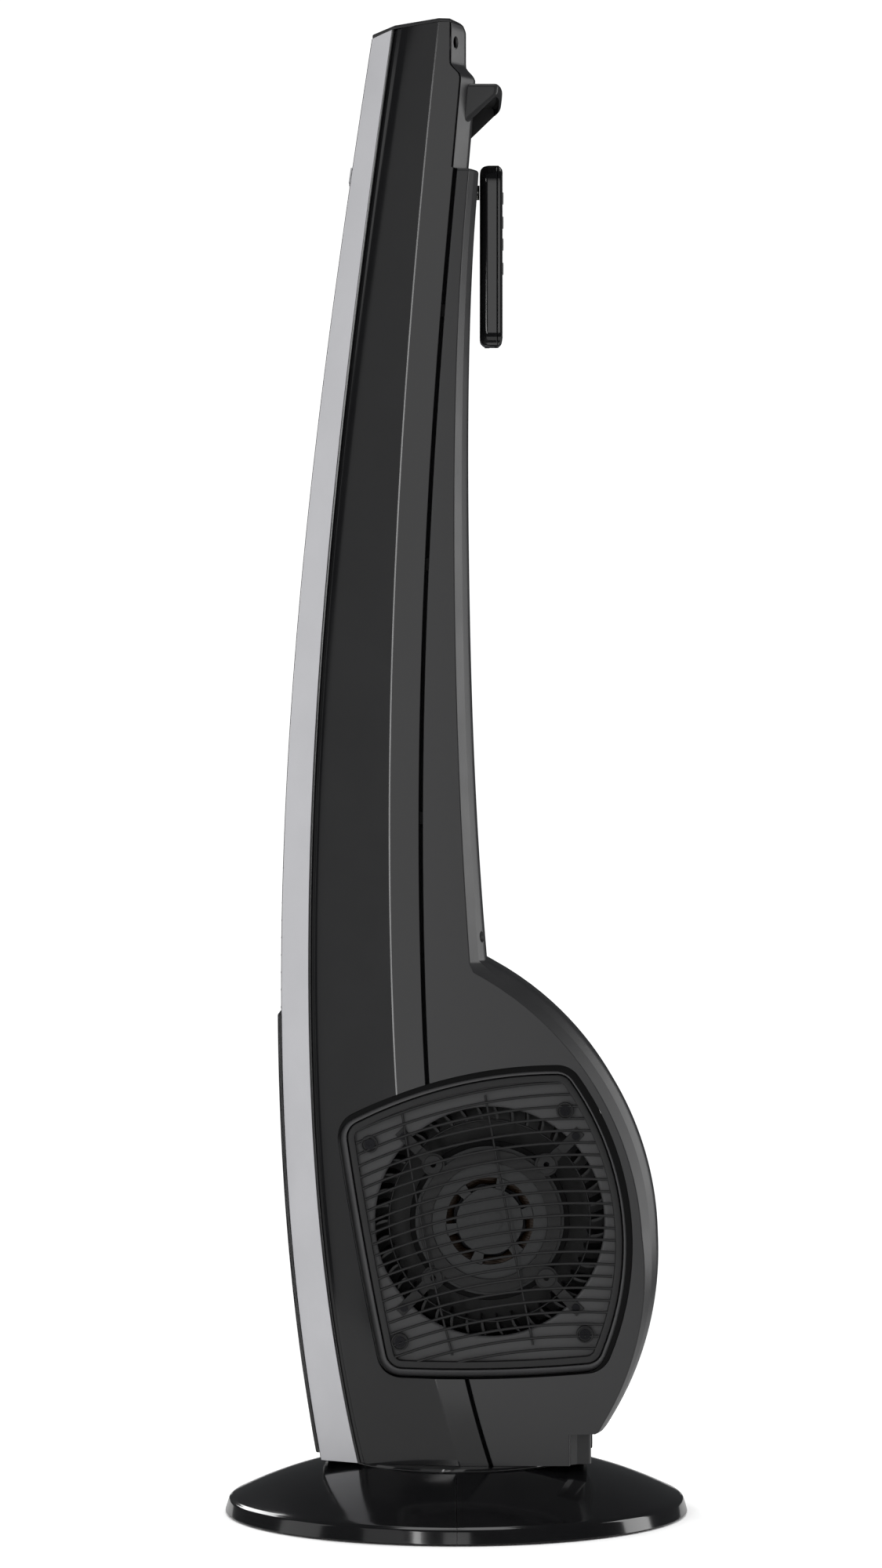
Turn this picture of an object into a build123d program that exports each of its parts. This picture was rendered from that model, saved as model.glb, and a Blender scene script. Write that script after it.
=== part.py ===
from build123d import *
import math
import os
from dataclasses import dataclass

# Tower fan with a centrifugal blower low in the back, a round two-piece base that the tower
# swings on, and a remote control docked behind the top.
# Millimetres. +Z is up, the fan blows towards -Y, the origin is the middle of the base on the floor.

os.makedirs("parts", exist_ok=True)

# ---------------------------------------------------------------- overall sizes
total_height = 1219.0      # floor to the crown of the top cap
base_radius = 190.0        # rim of the base
tower_half_width = 72.0    # widest place of the tower, at the side ridges
face_half_width = tower_half_width / 2     # half width of the narrow front face
side_slope_width = 17.0    # how far the side panels slope in from the ridge to the trim
trim_half_width = tower_half_width - side_slope_width

# ---------------------------------------------------------------- walls and clearances
skin = 2.5                 # moulded wall of the housings
trim_depth = 3.0           # pocket that an edge trim lies in
lining = 2.0               # wall of scroll and duct
lining_gap = 1.0           # scroll and duct to the housing
seam = 0.4                 # gap between mating mouldings
seam_screw_x = trim_half_width     # screws that hold the rear housing, on both sides
seam_screw_seat_y = 2.0    # their heads' seat, a little forward of the back wall
slip = 0.2                 # gap round a seated part
run_fit = 0.05             # radial clearance of a running fit

# ---------------------------------------------------------------- base
rim_height = 12.5
foot_height = 1.5          # part of the rubber feet below the rim
base_wall = 3.0
table_radius = 90.0
table_recess = 91.0
base_deck_z = 41.0         # top of the flat middle of the base
dome_edge_z = 44.0         # dome height round the recess
hub_radius = 62.0
hub_thickness = 4.0
spindle_radius = 14.0
thrust_thickness = 1.0
table_thickness = 4.5
foot_count = 6
foot_radius = 10.0
foot_circle = 168.0

# ---------------------------------------------------------------- swing drive
gear_module = 1.5
sun_teeth = 32
pinion_teeth = 12
gear_width = 5.0
swing_motor_radius = 22.0
swing_motor_height = 20.0

# ---------------------------------------------------------------- tower side view
table_top_z = base_deck_z + thrust_thickness + 0.1 + table_thickness
tower_floor_z = table_top_z
line_start_z = 40.0        # the long lines start below the floor and are cut off at it
bulge_z = 217.0            # height of the lower shape station
waist_z = 430.0            # where the front face stands furthest forward
shoulder_z = 455.5         # where the back meets the blower bulge
ledge_z = total_height - 121.0     # top of the rear housing
upper_z = waist_z + 0.44 * (total_height - waist_z)
band_width = 25.0          # ridge to parting groove
sky_z = total_height + 200.0       # above everything, for open-topped cuts
crown_y = -15.0
crown_radius = 180.0
cap_thickness = 3.0
back_y = 7.8               # back of the narrow top step
strip_depth = 13.0         # depth of the slanted strip along the back of the top step
step_drop = 38.0           # crown to the upper corner of the top step
step_height = 10.0
step_out = 7.6             # how far the back stands out below the top step
ledge_back_y = 9.2         # back of the main housing at the ledge

# ---------------------------------------------------------------- blower
axle_y = 27.0
axle_z = 243.7
wheel_radius = 98.0
disc_x = -4.0              # right face of the wheel's disc
blade_depth = 17.0
blade_count = 42
blade_thickness = 1.0
scroll_half_width = tower_half_width - 12.5
wheel_half_length = scroll_half_width - 5.5
inlet_radius = 93.0
motor_radius = 56.0
motor_back_x = 6.0
motor_length = scroll_half_width - 9.5
shaft_radius = 4.0
volute_start = 103.0       # scroll radius at the tongue
volute_growth = 32.0       # how much it has grown at the front
tongue_angle = -35.0       # from straight up, towards the front
scroll_top_z = 402.0
duct_half_width = trim_half_width - 3.0
capacitor_y = -8.0
capacitor_z = shoulder_z + 20.0

# ---------------------------------------------------------------- outlet grille and panels
grille_half_width = face_half_width - 3.0
grille_rib_x = grille_half_width / 3
grille_bottom_z = 412.0
grille_top_z = total_height - 157.0
louvre_pitch = 14.3
louvre_thickness = 1.8
grille_depth = 14.0
rail_width = 2.5
panel_proud = 3.0          # lower front panel stands out this much
panel_top_z = total_height - 23.0

# ---------------------------------------------------------------- intake
tray_plate = 2.0
tray_rim = 2.5
tray_corner = 14.0
tray_gap = 0.3
recess_width = 6.0         # dark channel round the intake grille
grille_frame_width = 5.0
bar_pitch = 9.8
bar_width = 2.2
bar_radius = 433.0
bar_centre = (100.0, -60.0)
grille_outer_x = 69.5
screw_head_radius = 4.3
bracket_plate = 2.0
bracket_screw_circle = inlet_radius + 5.5   # screws round the edge of the inlet
grommet_circle = 65.0

# ---------------------------------------------------------------- handle
handle_top_z = total_height - 50.0
handle_half_width = tower_half_width - 9.0

# ---------------------------------------------------------------- controls
button_pitch = (grille_half_width - 3.0) / 2
button_width = button_pitch - 3.5
button_height = 12.5
button_proud = 2.0
button_travel = 1.2
window_width = 4 * grille_half_width / 3
window_height = 24.0
lens_radius = 5.0
board_post_x = grille_half_width - 7.0
button_names = ["power", "speed", "swing", "timer"]

# ---------------------------------------------------------------- remote
remote_width = 42.0
remote_thickness = 18.6
remote_length = 148.6
remote_wall = 1.8
remote_back_y = 19.4
remote_top_z = ledge_z + 9.4
remote_seam_y = 33.6
magnet_radius = 6.0
gland_radius = 5.0
key_radius = 5.0
key_proud = 0.8
key_names = ["power", "faster", "slower", "swing"]


def side_plane(x):
    """Plane square to X whose own x runs along Y and own y along Z."""
    return Plane(origin=(x, 0, 0), x_dir=(0, 1, 0), z_dir=(1, 0, 0))


def prism_x(face, x0, x1):
    """Side-view face drawn on side_plane(0), pulled from x0 to x1."""
    return Pos(x0, 0, 0) * extrude(side_plane(0) * face, amount=x1 - x0)


def rod_x(radius, x0, x1, y, z):
    return prism_x(Pos(y, z) * Circle(radius), x0, x1)


def rod_y(radius, y0, y1, x, z):
    return Pos(x, (y0 + y1) / 2, z) * Rot(90, 0, 0) * Cylinder(radius, y1 - y0)


def rod_z(radius, z0, z1, x=0.0, y=0.0):
    return Pos(x, y, (z0 + z1) / 2) * Cylinder(radius, z1 - z0)


def ring_z(outer, inner, z0, z1):
    return rod_z(outer, z0, z1) - rod_z(inner, z0 - 1, z1 + 1)


def block(x0, x1, y0, y1, z0, z1):
    return Pos((x0 + x1) / 2, (y0 + y1) / 2, (z0 + z1) / 2) * Box(x1 - x0, y1 - y0, z1 - z0)


def polygon(*points):
    return make_face(Polyline(*points, close=True))


def crown(y):
    """Height of the crowned top at this y."""
    return total_height - crown_radius + math.sqrt(crown_radius ** 2 - (y - crown_y) ** 2)


# ================================================================ tower body
# Four long lines run up each side of the tower: the front corner, the back of the trim, the ridge,
# and the parting groove. They are given at five heights.

@dataclass
class LongLine:
    """Line up the side of the tower: its y at the floor, bulge, waist, upper and top heights."""
    floor: float
    bulge: float
    waist: float
    upper: float
    top: float

    def points(self, push=0.0):
        return [(self.floor + push, line_start_z),
                (self.bulge + push, bulge_z),
                (self.waist + push, waist_z),
                (self.upper + push, upper_z),
                (self.top + push, crown(self.top + push))]

    def at(self, z):
        """y at a height, from the curve itself."""
        line = Spline(*self.points())
        return line.find_intersection_points(Axis((-400, z), (1, 0)))[0].X


front_line = LongLine(-109.6, -134.0, -143.3, -125.6, -68.6)
trim_line = LongLine(-76.7, -107.3, -118.7, -103.5, -50.6)
ridge_line = LongLine(4.8, -35.8, -52.3, -49.4, -14.0)


@dataclass
class RimPoint:
    """Corner of the rear side view: place, outward direction, and step in to the side fold."""
    y: float
    z: float
    out: tuple
    fold: tuple

    def placed(self, wall, folded):
        fold = self.fold if folded else (0.0, 0.0)
        return (self.y - wall * self.out[0] - fold[0], self.z - wall * self.out[1] - fold[1])


rear_top = RimPoint(back_y, crown(back_y), (1, 0), (strip_depth, 0))
step_upper = RimPoint(back_y, total_height - step_drop, (1, 0.34), (strip_depth, -1.5))
step_lower = RimPoint(back_y + step_out, total_height - step_drop - step_height, (1.03, 0.3),
                      (strip_depth - 1, -1.5))
ledge_inner = RimPoint(ledge_back_y, ledge_z, (1.09, 1), (strip_depth, 0))
ledge_outer = RimPoint(18.2, ledge_z, (1, 1), (8, 0))
back_high = RimPoint(13.5, ledge_z - 68, (1, 0), (9, 0))
back_middle = RimPoint(10.0, 0.47 * ledge_z + 0.53 * shoulder_z + 45, (1, 0), (12, 0))
back_low = RimPoint(14.5, shoulder_z + 165, (1, 0), (13, 0))
notch = RimPoint(25.1, shoulder_z, (0.9, 0.6), (14, 8))
bulge_upper = RimPoint(128.7, 357.8, (0.74, 0.67), (13, 10))
bulge_rear = RimPoint(164.0, 232.0, (1, 0), (14, 0))
bulge_lower = RimPoint(154.0, 147.0, (0.97, -0.2), (8, 0))
bulge_heel = RimPoint(122.0, 77.5, (0.8, -0.8), (3, -4))
block_top = RimPoint(109.5, 71.5, (1, -1), (3, -4))
block_foot = RimPoint(109.5, line_start_z, (1, 0), (3, 0))


def side_outline(line, push, wall, folded):
    """Closed side view: the given front line and the tower's rear, drawn in (y, z)."""
    rear = [p.placed(wall, folded) for p in (
        ledge_inner, ledge_outer, back_high, back_middle, back_low, notch,
        bulge_upper, bulge_rear, bulge_lower, bulge_heel, block_top, block_foot)]
    front_points = line.points(push)
    end_y = rear_top.placed(wall, folded)[0]
    end = (end_y, crown(end_y))
    steps = [p.placed(wall, folded) for p in (step_upper, step_lower)]
    start = front_points[-1]
    middle_y = (start[0] + end[0]) / 2
    edges = [Spline(*front_points),
             ThreePointArc(start, (middle_y, crown(middle_y)), end),
             Polyline(end, *steps, rear[0]),
             Line(rear[0], rear[1]),
             Spline(*rear[1:6]),
             ThreePointArc(*rear[5:8]),
             ThreePointArc(*rear[7:10]),
             Line(rear[9], rear[10]),
             Line(rear[10], rear[11]),
             Line(rear[11], front_points[0])]
    return make_face(Curve() + edges)


def offset_corner(before, corner, after, in_before, in_after):
    """Move a plan corner inwards by its own distance from each of its two sides."""
    def side(a, b, amount):
        length = math.dist(a, b)
        direction = ((b[0] - a[0]) / length, (b[1] - a[1]) / length)
        inward = (-direction[1], direction[0])
        return (a[0] + inward[0] * amount, a[1] + inward[1] * amount), direction
    (p, u), (q, v) = side(before, corner, in_before), side(corner, after, in_after)
    cross = u[0] * v[1] - u[1] * v[0]
    t = ((q[0] - p[0]) * v[1] - (q[1] - p[1]) * v[0]) / cross
    return (p[0] + u[0] * t - corner[0], p[1] + u[1] * t - corner[1])


def below_crown(drop, floor_z):
    """Everything from a floor height up to the crown, lowered by a drop."""
    centre_z = total_height - crown_radius - drop
    disc = Pos(crown_y, centre_z) * Circle(crown_radius)
    return prism_x(disc, -100, 100) + block(-100, 100, -300, 300, floor_z, centre_z) \
        - block(-200, 200, -400, 400, floor_z - 500, floor_z)


def tower_body(wall=0.0, under_trim=0.0, top_drop=0.0):
    """Solid tower, shrunk by a wall and, under the trims, by their pocket too."""
    nose = (0.0, front_line.waist)
    a = (face_half_width, front_line.waist)
    b = (trim_half_width, trim_line.waist)
    c = (tower_half_width, ridge_line.waist)
    rear = (tower_half_width, 0.0)
    deep = wall + under_trim
    shift_a = offset_corner(nose, a, b, deep, deep)
    shift_b = offset_corner(a, b, c, deep, wall)
    shift_c = offset_corner(b, c, rear, wall, wall)
    face_a = side_outline(front_line, shift_a[1], wall, False)
    face_b = side_outline(trim_line, shift_b[1], wall, False)
    face_c = side_outline(ridge_line, shift_c[1], wall, True)
    stations = [(a[0] + shift_a[0], face_a), (b[0] + shift_b[0], face_b), (c[0] + shift_c[0], face_c)]
    ordered = [(-x, f) for x, f in reversed(stations)] + stations
    whole = loft([side_plane(x) * f for x, f in ordered], ruled=True)
    return whole & below_crown(top_drop + wall, tower_floor_z + wall)


def front_band(half_width, push_front, push_back, z0, z1):
    """Strip that follows the front line, between two offsets, from z0 to z1."""
    outer, inner = Spline(*front_line.points(push_front)), Spline(*front_line.points(push_back))
    face = make_face(Curve() + [outer, Line(outer @ 1, inner @ 1), inner, Line(inner @ 0, outer @ 0)])
    band = prism_x(face, -half_width, half_width)
    return band & block(-200, 200, -300, 300, z0, z1)


def save(name, shape):
    """Write one piece, as one compound of its solids."""
    solids = shape.solids() if not isinstance(shape, list) else [s for p in shape for s in p.solids()]
    piece = solids[0] if len(solids) == 1 else Compound(children=list(solids))
    piece.label = name
    export_step(piece, "parts/" + name + ".step")


# ================================================================ base
def base_profile(wall):
    """Half section of the base dome, shrunk by a wall: rim, lip and dome up to the recess."""
    rim_r, lip_r = base_radius - wall, base_radius - 3.0 - wall
    bottom = foot_height if wall == 0 else -5.0
    rim = [(0, bottom), (rim_r, bottom), (lip_r, rim_height - wall * 0.4)]
    dome = Spline((lip_r - 1.5, rim_height + 1.0 - wall), (0.84 * base_radius, 25.7 - wall),
                  (0.68 * base_radius, 36.0 - wall), (table_recess + wall, dome_edge_z - wall),
                  tangents=[(-0.8, 1.0), (-1.0, 0.16)])
    end = dome @ 1
    deck = base_deck_z - wall
    inner = [(end.X, deck), (0, deck), (0, bottom)]
    return make_face(Curve() + [Polyline(*rim, dome @ 0), dome, Polyline(end, *inner)])


def hub_screw_places():
    return [(50 * math.cos(a), 50 * math.sin(a)) for a in
            (math.radians(30 + 60 * i) for i in range(6))]


def foot_places():
    return [(foot_circle * math.cos(a), foot_circle * math.sin(a)) for a in
            (math.radians(30 + 360 / foot_count * i) for i in range(foot_count))]


def build_base():
    outside = revolve(Plane.XZ * base_profile(0), Axis.Z)
    hollow = revolve(Plane.XZ * base_profile(base_wall), Axis.Z)
    shell = outside - hollow
    ribs = []
    for i in range(12):
        rib = Rot(0, 0, 30 * i + 15) * block(hub_radius + 3, base_radius - 4, -1.2, 1.2,
                                             foot_height, base_deck_z)
        ribs.append(rib & hollow)
    seats = [Pos(x, y, 0) * (rod_z(foot_radius + 3, foot_height, base_deck_z)
                             - rod_z(foot_radius + slip, 0, 4.0 + slip)) & outside
             for x, y in foot_places()]
    shell = shell + ribs
    for x, y in foot_places():
        shell = shell - rod_z(foot_radius + 2.9, 0, 8, x, y)
    shell = shell + seats
    shell = shell - rod_z(spindle_radius + 1, 0, base_deck_z + 5)
    for x, y in hub_screw_places():
        shell = shell - rod_z(1.6, 0, base_deck_z - 1, x, y)
    front = shell & block(-300, 300, -300, -seam / 2, -5, 100)
    rear = shell & block(-300, 300, seam / 2, 300, -5, 100)
    save("base_front_half", front)
    save("base_rear_half", rear)

    hub_top = base_deck_z - base_wall
    hub = rod_z(hub_radius, hub_top - hub_thickness, hub_top)
    hub = hub + rod_z(spindle_radius, hub_top - hub_thickness, sun_top_z() + 6)
    hub = hub - rod_z(spindle_radius - 3.5, 0, 100)
    for x, y in hub_screw_places():
        hub = hub - rod_z(2.2, 0, 60, x, y)
    save("base_hub", hub)

    save("base_feet", [rod_z(foot_radius, 0, 4.0, x, y) for x, y in foot_places()])
    screws = []
    for x, y in hub_screw_places():
        low = hub_top - hub_thickness
        screws.append(rod_z(3.8, low - 2.4, low, x, y) + rod_z(1.55, low - 0.1, hub_top + 2.0, x, y))
    save("base_screws", screws)
    save("thrust_ring", ring_z(hub_radius + 18, hub_radius, base_deck_z, base_deck_z + thrust_thickness))


# ================================================================ swing drive
def sun_floor_z():
    return table_top_z + 0.3


def sun_top_z():
    return sun_floor_z() + gear_width


def gear_centre():
    return gear_module * (sun_teeth + pinion_teeth) / 2 + 0.1


def gear(teeth, first_angle):
    """Straight-sided spur gear with a tooth centred on first_angle, lying on z = 0."""
    pitch_r = gear_module * teeth / 2
    tip_r, root_r = pitch_r + 0.85 * gear_module, pitch_r - 1.15 * gear_module
    step = 2 * math.pi / teeth
    points = []
    for i in range(teeth):
        middle = math.radians(first_angle) + i * step
        for radius, share in ((root_r, -0.31), (tip_r, -0.11), (tip_r, 0.11), (root_r, 0.31)):
            angle = middle + share * step
            points.append((radius * math.cos(angle), radius * math.sin(angle)))
    return extrude(polygon(*points), amount=gear_width)


def build_swing_drive():
    """Fixed gear, nut, pinion, gearmotor and turntable; returns the gearmotor's screws."""
    # The sun gear is keyed to the fixed spindle; the pinion rolls round it at the front.
    sun = Pos(0, 0, sun_floor_z()) * gear(sun_teeth, -90)
    sun = sun - rod_z(spindle_radius + 0.05, 0, 100)
    save("sun_gear", sun)
    nut_floor = sun_top_z()
    save("spindle_nut", ring_z(spindle_radius + 6, spindle_radius + 0.05, nut_floor, nut_floor + 4))

    centre = gear_centre()
    motor_floor = sun_top_z() + 8.0
    half_tooth = 180.0 / pinion_teeth
    pinion = Pos(0, -centre, sun_floor_z()) * gear(pinion_teeth, 90 + half_tooth)
    pinion = pinion + rod_z(2.5, sun_floor_z(), motor_floor + 6, 0, -centre)
    save("swing_pinion", pinion)

    motor = rod_z(swing_motor_radius, motor_floor, motor_floor + swing_motor_height, 0, -centre)
    ear_x = swing_motor_radius + 5
    motor = motor + block(-ear_x - 4, ear_x + 4, -centre - 4, -centre + 4, motor_floor, motor_floor + 2)
    motor = motor - rod_z(2.5 + run_fit, motor_floor - 1, motor_floor + 7, 0, -centre)
    for x in (-ear_x, ear_x):
        motor = motor - rod_z(1.7, motor_floor - 1, motor_floor + 3, x, -centre)
    save("swing_motor", motor)

    table = ring_z(table_radius, spindle_radius + run_fit, table_top_z - table_thickness, table_top_z)
    for x in (-ear_x, ear_x):
        post = rod_z(4.0, table_top_z - 0.5, motor_floor, x, -centre)
        table = table + post
        table = table - rod_z(1.25, table_top_z, motor_floor + 1, x, -centre)
    save("turntable", table)
    return [rod_z(3.2, motor_floor + 2, motor_floor + 3.6, x, -centre)
            + rod_z(1.2, motor_floor - 6, motor_floor + 2.1, x, -centre) for x in (-ear_x, ear_x)]


# ================================================================ intake outline
def circle_through(a, b, c):
    """Centre and radius of the circle through three points."""
    ax, ay, bx, by, cx, cy = *a, *b, *c
    d = 2 * (ax * (by - cy) + bx * (cy - ay) + cx * (ay - by))
    aa, bb, cc = ax * ax + ay * ay, bx * bx + by * by, cx * cx + cy * cy
    centre = ((aa * (by - cy) + bb * (cy - ay) + cc * (ay - by)) / d,
              (aa * (cx - bx) + bb * (ax - cx) + cc * (bx - ax)) / d)
    return centre, math.dist(centre, a)


def circles_meet(first, second, near):
    """The meeting point of two circles that lies closer to a given point."""
    (c0, r0), (c1, r1) = first, second
    gap = math.dist(c0, c1)
    along = (r0 * r0 - r1 * r1 + gap * gap) / (2 * gap)
    across = math.sqrt(r0 * r0 - along * along)
    ux, uy = (c1[0] - c0[0]) / gap, (c1[1] - c0[1]) / gap
    foot = (c0[0] + ux * along, c0[1] + uy * along)
    meets = [(foot[0] - s * uy * across, foot[1] + s * ux * across) for s in (-1, 1)]
    return min(meets, key=lambda m: math.dist(m, near))


# Corners of the intake recess in (y, z), each followed by the middle of the bowed side after it.
tray_corners = [(-98.0, 324.0), (92.0, 371.0), (119.0, 123.0), (-61.0, 119.0)]
tray_middles = [(-5.0, 360.5), (141.0, 250.0), (30.0, 117.5), (-81.0, 220.0)]


def tray_face(inset):
    """Rounded outline of the intake recess with four bowed sides, shrunk by inset."""
    circles = []
    for i, middle in enumerate(tray_middles):
        centre, radius = circle_through(tray_corners[i], middle, tray_corners[(i + 1) % 4])
        circles.append((centre, radius - inset))
    corners = [circles_meet(circles[i - 1], circles[i], tray_corners[i]) for i in range(4)]
    edges = []
    for i, (centre, radius) in enumerate(circles):
        reach = radius / math.dist(centre, tray_middles[i])
        middle = tuple(c + (m - c) * reach for c, m in zip(centre, tray_middles[i]))
        edges.append(ThreePointArc(corners[i], middle, corners[(i + 1) % 4]))
    face = make_face(Curve() + edges)
    return fillet(face.vertices(), max(tray_corner - inset, 3.0))


screw_places = [(-70.5, 307.0), (88.0, 334.0), (-46.0, 147.0), (104.0, 153.0)]


# ================================================================ tower shells
def build_shells():
    outside = tower_body(0, 0, cap_thickness + slip)
    cavity = tower_body(skin, trim_depth, cap_thickness + slip)
    shell = outside - cavity

    groove = Spline(*ridge_line.points(band_width)[:-1], (ridge_line.at(ledge_z) + band_width, ledge_z))
    low, high = groove @ 0, groove @ 1
    front_zone = make_face(Curve() + [groove, Polyline((high.X, high.Y), (300, ledge_z), (300, sky_z),
                                                       (-300, sky_z), (-300, low.Y), (low.X, low.Y))])
    rear_zone = make_face(Curve() + [groove, Polyline((high.X, high.Y), (300, high.Y), (300, low.Y),
                                                      (low.X, low.Y))])
    front = shell & prism_x(front_zone, -100, 100)
    rear = shell & (Pos(0, seam, -seam) * prism_x(rear_zone, -100, 100))

    trim_blank = outside - tower_body(trim_depth, 0, cap_thickness + slip)
    trim_zone = block(face_half_width - 0.01, trim_half_width, -200, -30, tower_floor_z, sky_z)
    pocket = trim_blank & trim_zone
    front = front - pocket - mirror(pocket, about=Plane.YZ)
    trim = outside - tower_body(trim_depth - slip, 0, cap_thickness + slip)
    trim = trim & block(face_half_width + slip, trim_half_width - slip, -200, -30,
                        tower_floor_z, sky_z)
    save("trim_right", max(trim.solids(), key=lambda s: s.volume))
    save("trim_left", mirror(max(trim.solids(), key=lambda s: s.volume), about=Plane.YZ))

    opening = block(-grille_half_width - tray_gap, grille_half_width + tray_gap, -200, -35,
                    grille_bottom_z, panel_top_z)
    front = front - opening
    recess = prism_x(tray_face(-tray_gap), scroll_half_width - 3.5, 100)
    front = front - recess - mirror(recess, about=Plane.YZ)
    rear = rear - recess - mirror(recess, about=Plane.YZ)

    # The floor is open over the swing drive, and the screws from the turntable come up round it.
    drive_hole = rod_z(tower_half_width - 12.0, tower_floor_z - 5, tower_floor_z + 12)
    front = front - drive_hole
    rear = rear - drive_hole

    # Seam screws go in from the back, through the rear housing into long front bosses.
    seat_y = seam_screw_seat_y
    for z in seam_screw_heights():
        for x in (-seam_screw_x, seam_screw_x):
            front_boss = rod_y(4.5, seat_y - 8 - 12, seat_y - 8, x, z)
            web = block(abs(x), tower_half_width, seat_y - 20, seat_y - 8, z - 1.5, z + 1.5)
            web = web if x > 0 else mirror(web, about=Plane.YZ)
            front = front + ((front_boss + web) & outside)
            front = front - rod_y(1.4, seat_y - 19, seat_y, x, z)
            rear_boss = rod_y(6.0, seat_y - 8 + seam, seat_y + 40, x, z) & outside
            rear = rear + rear_boss
            rear = rear - rod_y(4.2, seat_y, seat_y + 60, x, z) - rod_y(1.8, seat_y - 20, seat_y + 1, x, z)

    # Dock magnet seat and the cord outlet through the low block.
    rear = rear - rod_y(magnet_radius + slip, 10, 25, 0, dock_z())
    rear = rear - rod_y(gland_radius + slip, 95, 125, 0, gland_z())
    save("front_housing", max(front.solids(), key=lambda s: s.volume))
    save("rear_housing", max(rear.solids(), key=lambda s: s.volume))

    cap = tower_body(0, 0, 0) - tower_body(0, 0, cap_thickness)
    cap = cap & block(-100, 100, -200, 100, ledge_z + 60, sky_z)
    save("top_cap", max(cap.solids(), key=lambda s: s.volume))

    panel = front_band(face_half_width + 1.0, -panel_proud, -0.05, tower_floor_z + 6, grille_bottom_z - 1)
    save("lower_front_panel", panel)


def seam_screw_heights():
    return [ledge_z - 60, 0.5 * (ledge_z + shoulder_z), shoulder_z + 50]


def dock_z():
    return ledge_z - 12.0


def gland_z():
    return 0.5 * (block_top.z + tower_floor_z)


# ================================================================ front face
def build_outlet():
    z0, z1 = grille_bottom_z + slip, grille_top_z
    rail = front_band(grille_half_width, 0.6, grille_depth, z0, z1)
    rail = rail - block(-grille_half_width + rail_width, grille_half_width - rail_width, -300, 0, 0, sky_z)
    rib = front_band(0.8, 2.5, grille_depth - 2, z0, z1)
    ribs = [rib.moved(Location((x, 0, 0))) for x in (-grille_rib_x, grille_rib_x)]
    louvres = []
    count = int((z1 - z0 - 3.0) / louvre_pitch) + 1
    start = z0 + ((z1 - z0) - (count - 1) * louvre_pitch) / 2
    for i in range(count):
        z = start + i * louvre_pitch
        bow = 2.2 - 1.6 * (z - z0) / (z1 - z0)
        y = front_line.at(z)
        half = grille_half_width - 0.4
        outline = Curve() + [ThreePointArc((-half, y + 0.8), (0, y + 0.8 - bow), (half, y + 0.8)),
                             Polyline((half, y + 0.8), (half, y + grille_depth - 1),
                                      (-half, y + grille_depth - 1), (-half, y + 0.8))]
        blade = extrude(Pos(0, 0, z - louvre_thickness / 2) * make_face(outline), amount=louvre_thickness)
        louvres.append(blade)
    caps = [front_band(grille_half_width, 0.6, grille_depth, z0, z0 + 3),
            front_band(grille_half_width, 0.6, grille_depth, z1 - 3, z1)]
    save("outlet_grille", rail + ribs + louvres + caps)


def face_plane():
    """Plane of the control panel's face, facing out and a little up."""
    z_low, z_high = grille_top_z + 1.0, panel_top_z - 1.0
    y_low, y_high = front_line.at(z_low), front_line.at(z_high)
    tilt = math.atan2(y_high - y_low, z_high - z_low)
    middle = (0, (y_low + y_high) / 2 + 0.2, (z_low + z_high) / 2)
    return Plane(origin=middle, x_dir=(1, 0, 0), z_dir=(0, -math.cos(tilt), math.sin(tilt)))


def slab(plane, sketch, back, front):
    """Sketch on a plane, made solid between two distances along its normal."""
    return extrude(plane.offset(back) * sketch, amount=front - back)


def build_controls():
    face = face_plane()
    height = (panel_top_z - grille_top_z - 2.0) / math.cos(math.radians(8.5)) - 1.0
    button_y, window_y, lens_y = -0.5 * height + 34.0, 0.5 * height - 46.0, 0.5 * height - 14.0
    panel = slab(face, RectangleRounded(2 * grille_half_width, height, 3), -3.0, 0)
    xs = [(i - 1.5) * button_pitch for i in range(len(button_names))]
    for x in xs:
        panel = panel - slab(face, Pos(x, button_y) * RectangleRounded(
            button_width + 0.6, button_height + 0.6, 2.3), -5, 2)
    panel = panel - slab(face, Pos(0, window_y) * RectangleRounded(window_width, window_height, 2), -5, 2)
    panel = panel - slab(face, Pos(0, lens_y) * Circle(lens_radius), -5, 2)
    for x in (-board_post_x, board_post_x):
        panel = panel + slab(face, Pos(x, window_y + 20) * Circle(3), -9.0, -2.9)
        panel = panel + slab(face, Pos(x, button_y - 20) * Circle(3), -9.0, -2.9)
    save("control_panel", panel)
    for name, x in zip(button_names, xs):
        cap = slab(face, Pos(x, button_y) * RectangleRounded(button_width, button_height, 2),
                   -3.5, button_proud)
        cap = cap + slab(face, Pos(x, button_y) * Circle(2), -7.2, -3.4)
        save("button_" + name, cap)
    window = slab(face, Pos(0, window_y) * RectangleRounded(
        window_width - 2 * slip, window_height - 2 * slip, 2), -3.0, -0.2)
    save("display_window", window)
    lens = slab(face, Pos(0, lens_y) * Circle(lens_radius - slip), -3.0, 0.4)
    save("signal_lens", lens)
    board = slab(face, RectangleRounded(2 * grille_half_width - 8, height - 16, 2), -10.6, -9.0)
    display = Pos(0, window_y) * RectangleRounded(window_width - 6, window_height - 6, 1)
    board = board + slab(face, display, -9.1, -3.4)
    for x in xs:
        board = board + slab(face, Pos(x, button_y) * Rectangle(6, 6), -9.1, -8.6)
    save("control_board", board)


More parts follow.
